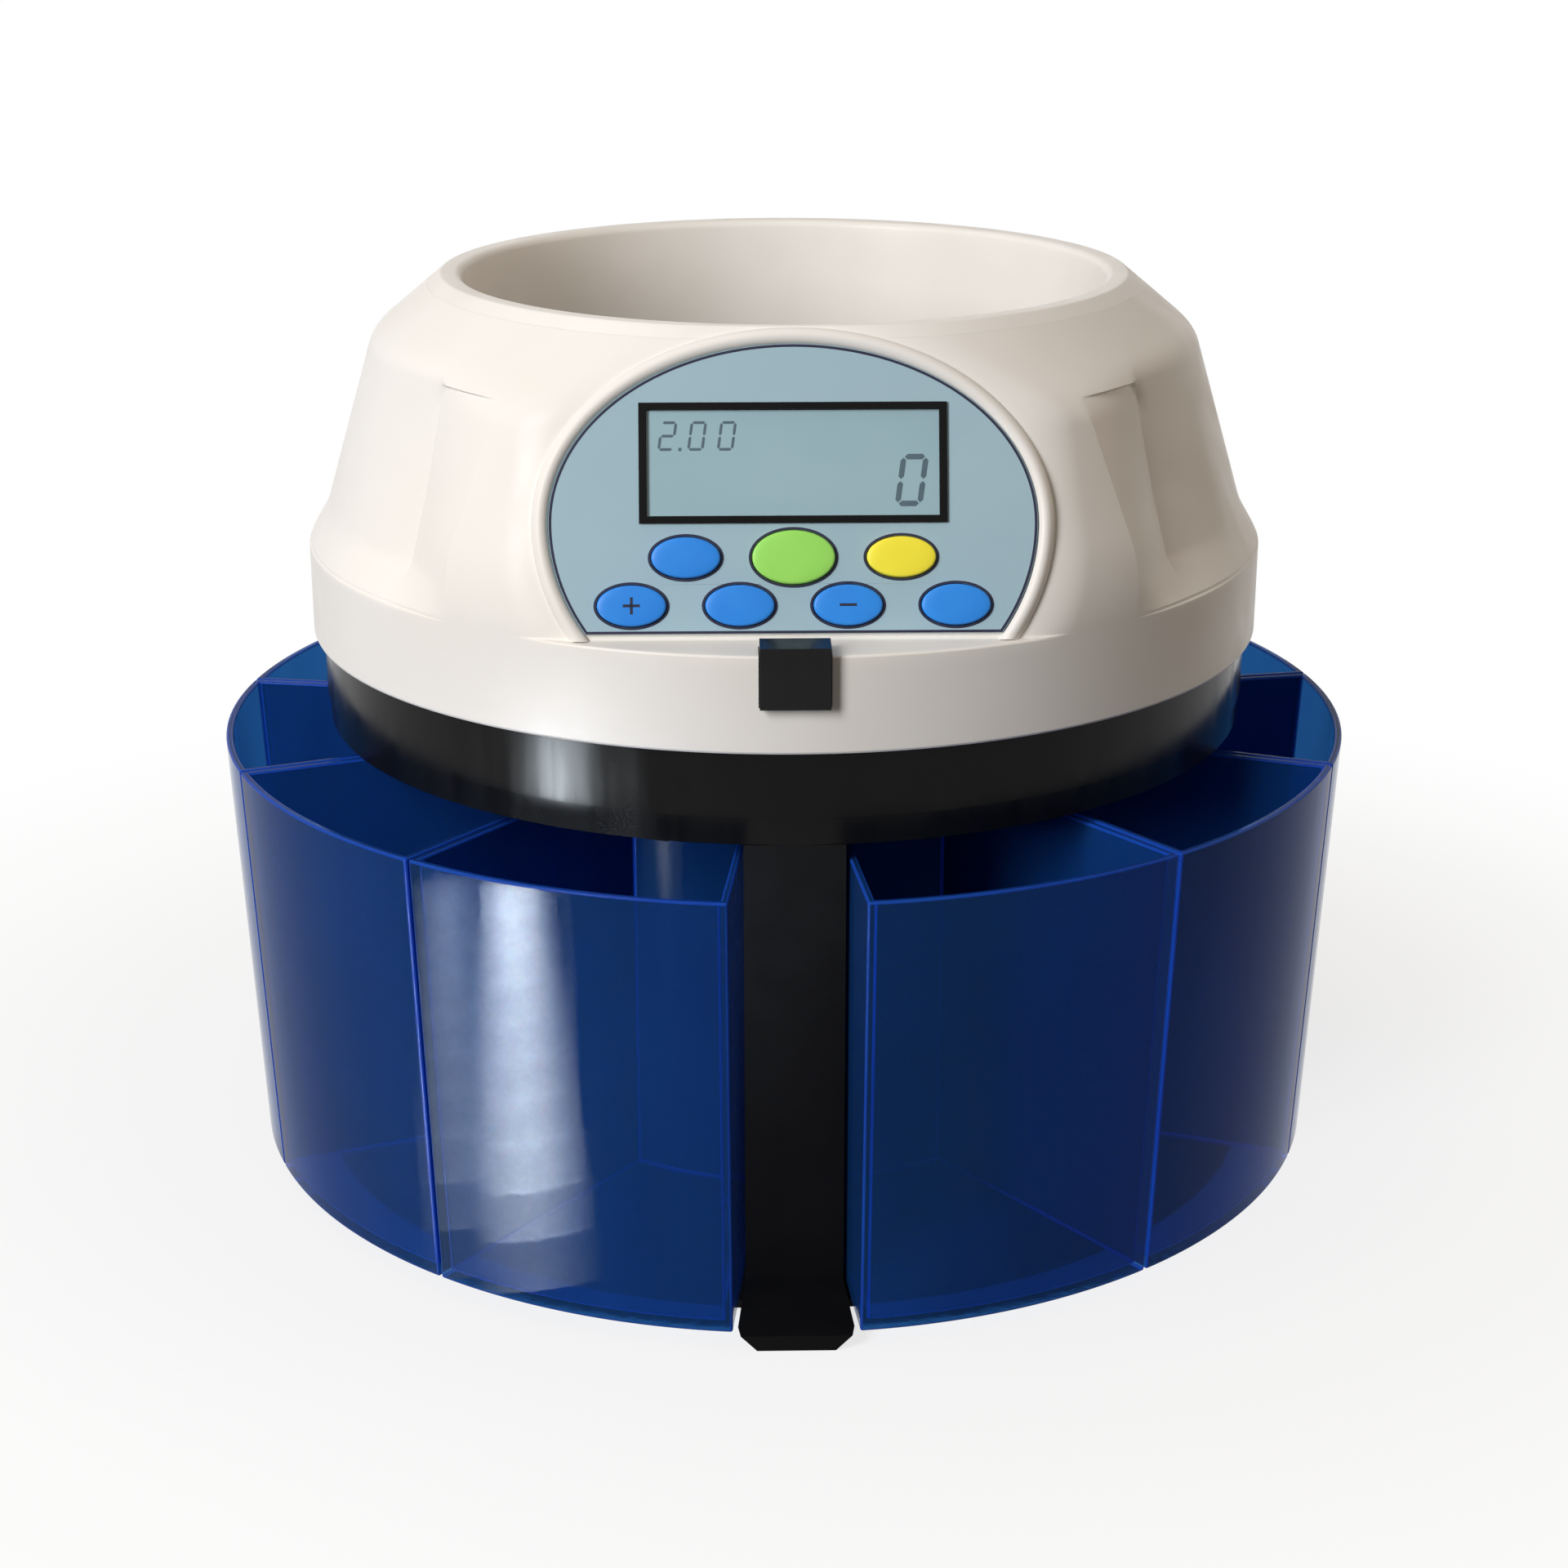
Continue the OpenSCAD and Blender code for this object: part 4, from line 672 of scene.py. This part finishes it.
inner_wall = [(BOWL_LOW_R + bowl_slope * (z - BOWL_Z), z)
              for z in np.linspace(RIM_Z - BOWL_EDGE, BOWL_Z + BOWL_EDGE, BOWL_ROWS)]
outer_wall = [(BOWL_LOW_R + BOWL_WALL + bowl_slope * (z - BOWL_Z), z)
              for z in np.linspace(BOWL_Z, BOWL_TOP, BOWL_ROWS)]
foot = [(BOWL_LOW_R + BOWL_EDGE_MID, BOWL_Z + BOWL_EDGE_MID), (BOWL_LOW_R + BOWL_EDGE, BOWL_Z)]
turns = np.linspace(-180, 180, BOWL_COLUMNS, endpoint=False)
rings = [(panel_cut(r + 0 * turns, turns, z), z) for r, z in lip]
rings += [(r + 0 * turns, z) for r, z in inner_wall + foot + outer_wall]
bowl_grid = [[(r * sin(a), -r * cos(a), z) for r, a in zip(ring, np.radians(turns))] for ring, z in rings]
hopper = add_mesh("hopper", *torus_grid(bowl_grid), sharp=BOWL_SHARP)
dress(hopper, "cover", "bowl_plastic", replaced=["hopper_bowl"])

# Bead round the control panel: (distance outside the panel's edge, height over its face)

BEAD = [(0.1, -1.0), (0.1, 0.5), (0.5, 1.1), (1.1, 1.6), (1.8, 1.88), (2.5, 1.9), (3.2, 1.6), (3.9, 1.0),
        (4.5, 0.1), (5.0, -4.0)]
BEAD_FOOT = -2.0
paths = [arch(grow, BEAD_FOOT) for grow, _ in BEAD]
sections = [on_panel([(p[k][0], p[k][1], z) for p, (_, z) in zip(paths, BEAD)]) for k in range(len(paths[0]))]
dress(add_mesh("panel_bead", *loft(sections), sharp=40), "cover", "white_plastic")

# Printed film of the control panel: the film, the line along its edge and the rings round the keys

FILM_INSET = 0.1
FILM_EDGE = 0.12
WINDOW_ROOM = 0.1
LINE_INSET = 0.25
EDGE_LINE = 0.7
KEY_RING = 0.6
RING_ROOM = 0.05
INK_LOW, INK_TOP = FILM_TOP - 0.02, FILM_TOP + 0.05
window = rectangle(0, LCD_MID, LCD_W + 2 * WINDOW_ROOM, LCD_H + 2 * WINDOW_ROOM)
overlay = panel_plates("panel_film", [([arch(-FILM_INSET), window] + key_holes, FILM_LOW, FILM_TOP)])
bevel(overlay, FILM_EDGE)
dress(overlay, "cover", "panel_print", replaced=["panel_overlay"])
lines = [([arch(-LINE_INSET), arch(-LINE_INSET - EDGE_LINE, EDGE_LINE)], INK_LOW, INK_TOP)]
for x, y, w, h, _ in KEYS.values():
    gap = 2 * KEY_GAP + RING_ROOM
    around = ellipse(x, y, w + gap + 2 * KEY_RING, h + gap + 2 * KEY_RING)
    lines.append(([around, ellipse(x, y, w + gap, h + gap)], INK_LOW, INK_TOP))
dress(panel_plates("panel_lines", lines), "cover", "panel_print", ink.material)

# Keys: oval caps with a rolled edge and a shallow crown

KEY_ROLL = 0.7
KEY_FLANGE = 0.8
KEY_FLANGE_T = 1.4
KEY_CROWN = 0.25
CROWN_REACH = 0.45
ROLL_END = 80


def key_cap(x, y, w, h):
    """Points and faces of a key with its flange, as (growth, height) stages of its oval."""
    stages = [(KEY_FLANGE, KEY_FOOT), (KEY_FLANGE, KEY_FOOT + KEY_FLANGE_T), (0, KEY_FOOT + KEY_FLANGE_T)]
    stages += [(-KEY_ROLL * (1 - cos(a)), KEY_TOP - KEY_CROWN - KEY_ROLL * (1 - sin(a)))
               for a in np.radians(np.linspace(0, ROLL_END, 6))]
    stages += [(-KEY_ROLL - (w / 2 - KEY_ROLL) * t * CROWN_REACH, KEY_TOP - KEY_CROWN * (1 - t) ** 2)
               for t in (0.3, 0.6, 1.0)]
    return loft([on_panel([(px, py, z) for px, py in ellipse(x, y, w + 2 * g, h + 2 * g)])
                 for g, z in stages])


for name, (x, y, w, h, colour) in KEYS.items():
    cap = add_mesh(name + "_cap", *key_cap(x, y, w, h), sharp=40)
    dress(cap, name, colour, replaced=[name])

MARK_LONG, MARK_WIDE = 4.6, 0.75
MARK_LOW, MARK_TOP = KEY_TOP - 0.12, KEY_TOP + 0.04
for name, bars in (("key_lower_1", ((MARK_LONG, MARK_WIDE), (MARK_WIDE, MARK_LONG))),
                   ("key_lower_3", ((MARK_LONG, MARK_WIDE),))):
    x, y = KEYS[name][:2]
    marks = [prism(rectangle(x, y, w, h), MARK_LOW, MARK_TOP) for w, h in bars]
    dress(add_mesh(name + "_mark", *join(*marks)), name, "key_blue", ink.material)

# Display: seven-segment figures on the glass

SEGMENTS = {"0": "abcdef", "2": "abged"}
FIGURE_LEAN = 0.14
SEGMENT_GAP = 0.35


def bar(x, y, along, length, wide):
    """A segment with pointed ends, along x or y from its middle."""
    tip, half = wide / 2, length / 2
    shape = [(-half, 0), (-half + tip, tip), (half - tip, tip),
             (half, 0), (half - tip, -tip), (-half + tip, -tip)]
    return [(x + (u if along == "x" else v), y + (v if along == "x" else u)) for u, v in shape]


def figure(digit, x, y, w, h, wide):
    """Outlines of one figure with its lower left corner at x, y, leaning to the right."""
    half = h / 2
    places = {"a": (w / 2, h, "x", w), "g": (w / 2, half, "x", w), "d": (w / 2, 0, "x", w),
              "f": (0, 1.5 * half, "y", half), "b": (w, 1.5 * half, "y", half),
              "e": (0, half / 2, "y", half), "c": (w, half / 2, "y", half)}
    shapes = []
    for name in SEGMENTS[digit]:
        px, py, along, length = places[name]
        outline = bar(px, py, along, length - SEGMENT_GAP * wide, wide)
        shapes.append([(x + u + FIGURE_LEAN * v, y + v) for u, v in outline])
    return shapes


SMALL_W, SMALL_H, SMALL_T = 3.7, 7.2, 0.75
LARGE_W, LARGE_H, LARGE_T = 6.0, 12.6, 1.5
SMALL_MARGIN, SMALL_PITCH = 3.4, 8.0
POINT_AHEAD, POINT_SIDE = 2.0, 0.9
LARGE_FROM_RIGHT, LARGE_FROM_FOOT = 11.4, 3.2
SEGMENT_LOW, SEGMENT_TOP = GLASS_TOP - 0.05, GLASS_TOP + 0.03
left = -LCD_W / 2 + LCD_BORDER + SMALL_MARGIN
top = LCD_MID + LCD_H / 2 - LCD_BORDER - SMALL_MARGIN - SMALL_H
outlines = []
for k, digit in enumerate("200"):
    outlines += figure(digit, left + k * SMALL_PITCH, top, SMALL_W, SMALL_H, SMALL_T)
outlines.append(rectangle(left + SMALL_W + POINT_AHEAD, top, POINT_SIDE, POINT_SIDE))
outlines += figure("0", LCD_W / 2 - LCD_BORDER - LARGE_FROM_RIGHT,
                   LCD_MID - LCD_H / 2 + LCD_BORDER + LARGE_FROM_FOOT, LARGE_W, LARGE_H, LARGE_T)
digits = [prism(outline, SEGMENT_LOW, SEGMENT_TOP) for outline in outlines]
dress(add_mesh("display_figures", *join(*digits)), "cover", "display_glass", segment.material)

# Coin boxes: moulded walls, their rounded edges given a deeper, less clear blue as a painted edge glow

BOX_RINGS = (30, 65, 100)
BOX_EDGE = 0.7
OUT_STEPS, IN_STEPS = 28, 10


def box_ring(direction, z, inset, r_out, r_in):
    """Outline of a box at one height: outer arc, then inner arc, between two inset radial planes."""
    half = radians(BOX_PITCH / 2)
    a_out, a_in = half - asin(inset / r_out), half - asin(inset / r_in)
    angles = [(r_out, -a_out + 2 * a_out * k / OUT_STEPS) for k in range(OUT_STEPS + 1)]
    angles += [(r_in, a_in - 2 * a_in * k / IN_STEPS) for k in range(IN_STEPS + 1)]
    return [(r * cos(direction + a), r * sin(direction + a), z) for r, a in angles]


def box_radius(z):
    """Radius of the boxes' outer wall, which leans out on its way up."""
    return BOX_FOOT_R + (BOX_TOP_R - BOX_FOOT_R) * (z - BOX_Z) / (BOX_TOP - BOX_Z)


def coin_box(direction):
    """Points and faces of an open box: up the outside, over the rim and down the inside."""
    floor = BOX_Z + BOX_FLOOR
    out, inn = BOX_GAP / 2, BOX_GAP / 2 + BOX_WALL
    heights = [BOX_Z, *(BOX_Z + up for up in BOX_RINGS), BOX_TOP]
    rings = [box_ring(direction, z, out, box_radius(z), BOX_IN_R) for z in heights]
    rings += [box_ring(direction, max(z, floor), inn, box_radius(z) - BOX_WALL, BOX_IN_R + BOX_WALL)
              for z in reversed(heights)]
    return loft(rings)


for k in range(BOX_COUNT):
    side = -1 if k < BOX_COUNT / 2 else 1
    direction = radians(-90 + side * (FRONT_HALF + (k % (BOX_COUNT // 2) + 0.5) * BOX_PITCH))
    name = f"coin_box_{k + 1}"
    tray = add_mesh(name + "_tray", *coin_box(direction), sharp=30)
    dress(tray, name, "blue_clear", blue.material, painted_edge_glow.material, replaced=[name])
    # The bevel's faces take the painted edge glow
    rounding = bevel(tray, BOX_EDGE, segments=3, angle=40)
    rounding.material = list(tray.data.materials).index(painted_edge_glow.material)
    tray.visible_shadow = False

# Stage, lights and camera

FLOOR_HALF = 4.0
FLOOR_COLOUR = (0.88, 0.88, 0.88, 1)
SHADOW_NEAR, SHADOW_FAR = 0.16, 0.5
FLOOR_WHITE = 0.75
floor = bpy.data.objects.new("floor", bpy.data.meshes.new("floor"))
floor.data.from_pydata([(-FLOOR_HALF, -FLOOR_HALF, 0), (FLOOR_HALF, -FLOOR_HALF, 0),
                        (FLOOR_HALF, FLOOR_HALF, 0), (-FLOOR_HALF, FLOOR_HALF, 0)], [], [(0, 1, 2, 3)])
bpy.context.scene.collection.objects.link(floor)


def seen_directly(tree):
    """1 where the camera, a mirror or clear plastic shows the surface, 0 for the light it sheds."""
    path = tree.nodes.new("ShaderNodeLightPath")
    shown = tree.nodes.new("ShaderNodeMath")
    shown.operation = "MAXIMUM"
    clear = tree.nodes.new("ShaderNodeMath")
    clear.operation = "MAXIMUM"
    tree.links.new(path.outputs["Is Camera Ray"], shown.inputs[0])
    tree.links.new(path.outputs["Is Glossy Ray"], shown.inputs[1])
    tree.links.new(shown.outputs["Value"], clear.inputs[0])
    tree.links.new(path.outputs["Is Transmission Ray"], clear.inputs[1])
    return clear.outputs["Value"]


def floor_material():
    """White floor that takes the object's shadow near it and fades to plain white further out."""
    material = bpy.data.materials.new("floor")
    material.use_nodes = True
    tree = material.node_tree
    tree.nodes.clear()
    out = tree.nodes.new("ShaderNodeOutputMaterial")
    mix = tree.nodes.new("ShaderNodeMixShader")
    plain = tree.nodes.new("ShaderNodeBsdfDiffuse")
    plain.inputs["Color"].default_value = FLOOR_COLOUR
    bright = tree.nodes.new("ShaderNodeEmission")
    tree.links.new(seen_directly(tree), bright.inputs["Strength"])
    space = tree.nodes.new("ShaderNodeTexCoord")
    length = tree.nodes.new("ShaderNodeVectorMath")
    length.operation = "LENGTH"
    fade = tree.nodes.new("ShaderNodeMapRange")
    fade.interpolation_type = "SMOOTHSTEP"
    fade.inputs["From Min"].default_value = SHADOW_NEAR
    fade.inputs["From Max"].default_value = SHADOW_FAR
    fade.inputs["To Min"].default_value = FLOOR_WHITE
    tree.links.new(space.outputs["Object"], length.inputs[0])
    tree.links.new(length.outputs["Value"], fade.inputs["Value"])
    tree.links.new(fade.outputs["Result"], mix.inputs["Fac"])
    tree.links.new(plain.outputs["BSDF"], mix.inputs[1])
    tree.links.new(bright.outputs["Emission"], mix.inputs[2])
    tree.links.new(mix.outputs["Shader"], out.inputs["Surface"])
    return material


floor.data.materials.append(floor_material())

# Warm light from all round, seen as plain white
AMBIENT = 0.19
AMBIENT_COLOUR = (1.0, 0.86, 0.73, 1)
world = bpy.data.worlds.new("studio")
bpy.context.scene.world = world
world.use_nodes = True
tree = world.node_tree
tree.nodes.clear()
strength = tree.nodes.new("ShaderNodeMapRange")
strength.inputs["To Min"].default_value = AMBIENT
strength.inputs["To Max"].default_value = 1.0
background = tree.nodes.new("ShaderNodeBackground")
tint = tree.nodes.new("ShaderNodeMix")
tint.data_type = "RGBA"
tint_sockets = {s.identifier: s for s in tint.inputs}
tint_sockets["A_Color"].default_value = AMBIENT_COLOUR
tint_sockets["B_Color"].default_value = (1, 1, 1, 1)
output = tree.nodes.new("ShaderNodeOutputWorld")
seen = seen_directly(tree)
tree.links.new(seen, strength.inputs["Value"])
tree.links.new(seen, tint_sockets["Factor_Float"])
tree.links.new(next(s for s in tint.outputs if s.identifier == "Result_Color"), background.inputs["Color"])
tree.links.new(strength.outputs["Result"], background.inputs["Strength"])
tree.links.new(background.outputs["Background"], output.inputs["Surface"])


def softbox(name, place, aim, size, power, colour):
    """Rectangular area light at a place, turned to a point; metres and watts. The camera doesn't see it."""
    lamp = bpy.data.lights.new(name, "AREA")
    lamp.shape = "RECTANGLE"
    lamp.size, lamp.size_y = size
    lamp.energy = power
    lamp.color = colour
    obj = bpy.data.objects.new(name, lamp)
    obj.location = place
    obj.rotation_euler = (Vector(aim) - Vector(place)).to_track_quat("-Z", "Y").to_euler()
    obj.visible_camera = False
    bpy.context.scene.collection.objects.link(obj)
    return obj


# Lamps: place, aim and size, then power and colour
softbox("key", (-1.05, -1.2, 0.95), (0, 0, 0.16), (0.55, 1.1), 29, (0.99, 0.992, 1.0))
softbox("top", (-0.3, 0.1, 1.6), (0, 0, 0.2), (1.0, 1.0), 3, (1.0, 0.92, 0.84))
softbox("fill", (1.6, 0.25, 0.7), (0, 0, 0.18), (0.9, 0.9), 4.6, (1.0, 0.82, 0.6))

# Soft highlights on the boxes and the ring: radiance of the cards, and their colour
BOX_GLOW, BOX_HALO, RING_GLOW = 225, 42, 95
GLOW_COLOUR = (0.84, 0.93, 1.0)


def table_glow(name, place, turn, rise, size, spread, radiance):
    """Low card on the table, turned up to the object, whose narrow beam only glossy surfaces mirror."""
    beam = Vector((sin(turn) * cos(rise), cos(turn) * cos(rise), sin(rise)))
    narrowing = 1 - spread / 2 / tan(spread / 2)
    power = radiance * pi * size[0] * size[1] * narrowing
    glow = softbox(name, place, Vector(place) + beam, size, power, GLOW_COLOUR)
    glow.data.spread = spread
    glow.visible_diffuse = False
    glow.visible_transmission = False


# Cards in rows from the foot of a box outwards make one highlight up its front, brightest at the top
GLOW_ROWS = 10
GLOW_STEP = 0.027
GLOW_START = 0.4
GLOW_RISE, GLOW_RISE_LOSS = 34.7, 7.9
GLOW_SPREAD, GLOW_SPREAD_LOSS = 27, 11
GLOW_FOOT, GLOW_GAIN = 0.72, 0.58
GLOW_FADE_ROWS, GLOW_FADE_START = 2.6, 0.6


def glow_rows(name, foot, turn, width, widening, radiance):
    """Rows of cards that a box mirrors to the front above one point of its foot."""
    for k in range(GLOW_ROWS):
        up = k / (GLOW_ROWS - 1)
        rise = radians(GLOW_RISE - GLOW_RISE_LOSS * up)
        card = GLOW_STEP * sin(rise)
        out = GLOW_STEP * (k + GLOW_START)
        place = Vector(foot) + Vector((-sin(turn) * out, -cos(turn) * out, card / 2 * cos(rise)))
        spread = radians(GLOW_SPREAD - GLOW_SPREAD_LOSS * up)
        share = (GLOW_FOOT + GLOW_GAIN * up) * min(1, (k + GLOW_FADE_START) / GLOW_FADE_ROWS)
        size = (width + widening * out, card)
        table_glow(f"{name}_{k + 1}", place, turn, rise, size, spread, radiance * share)


glow_rows("box_glow", (-0.081, -0.152, 0.002), radians(57), 0.06, 0.48, BOX_GLOW)
glow_rows("box_halo", (-0.098, -0.138, 0.002), radians(73), 0.08, 0.34, BOX_HALO)
table_glow("ring_glow", (-0.26, -0.255, 0.046), radians(57), radians(20.4), (0.14, 0.09), radians(18),
           RING_GLOW)

# Camera, fitted to the photo
CAMERA_PLACE = Vector((-18.3, -875.8, 413.0)) * MM
CAMERA_PITCH = radians(19.16)
CAMERA_YAW = radians(-1.197)
CAMERA_LENS, CAMERA_SENSOR = 66.13, 36.0
camera = bpy.data.objects.new("camera", bpy.data.cameras.new("camera"))
camera.data.lens = CAMERA_LENS
camera.data.sensor_width = CAMERA_SENSOR
camera.location = CAMERA_PLACE
camera.rotation_euler = (pi / 2 - CAMERA_PITCH, 0, CAMERA_YAW)
bpy.context.scene.collection.objects.link(camera)
bpy.context.scene.camera = camera
bpy.context.scene.view_settings.view_transform = "Standard"
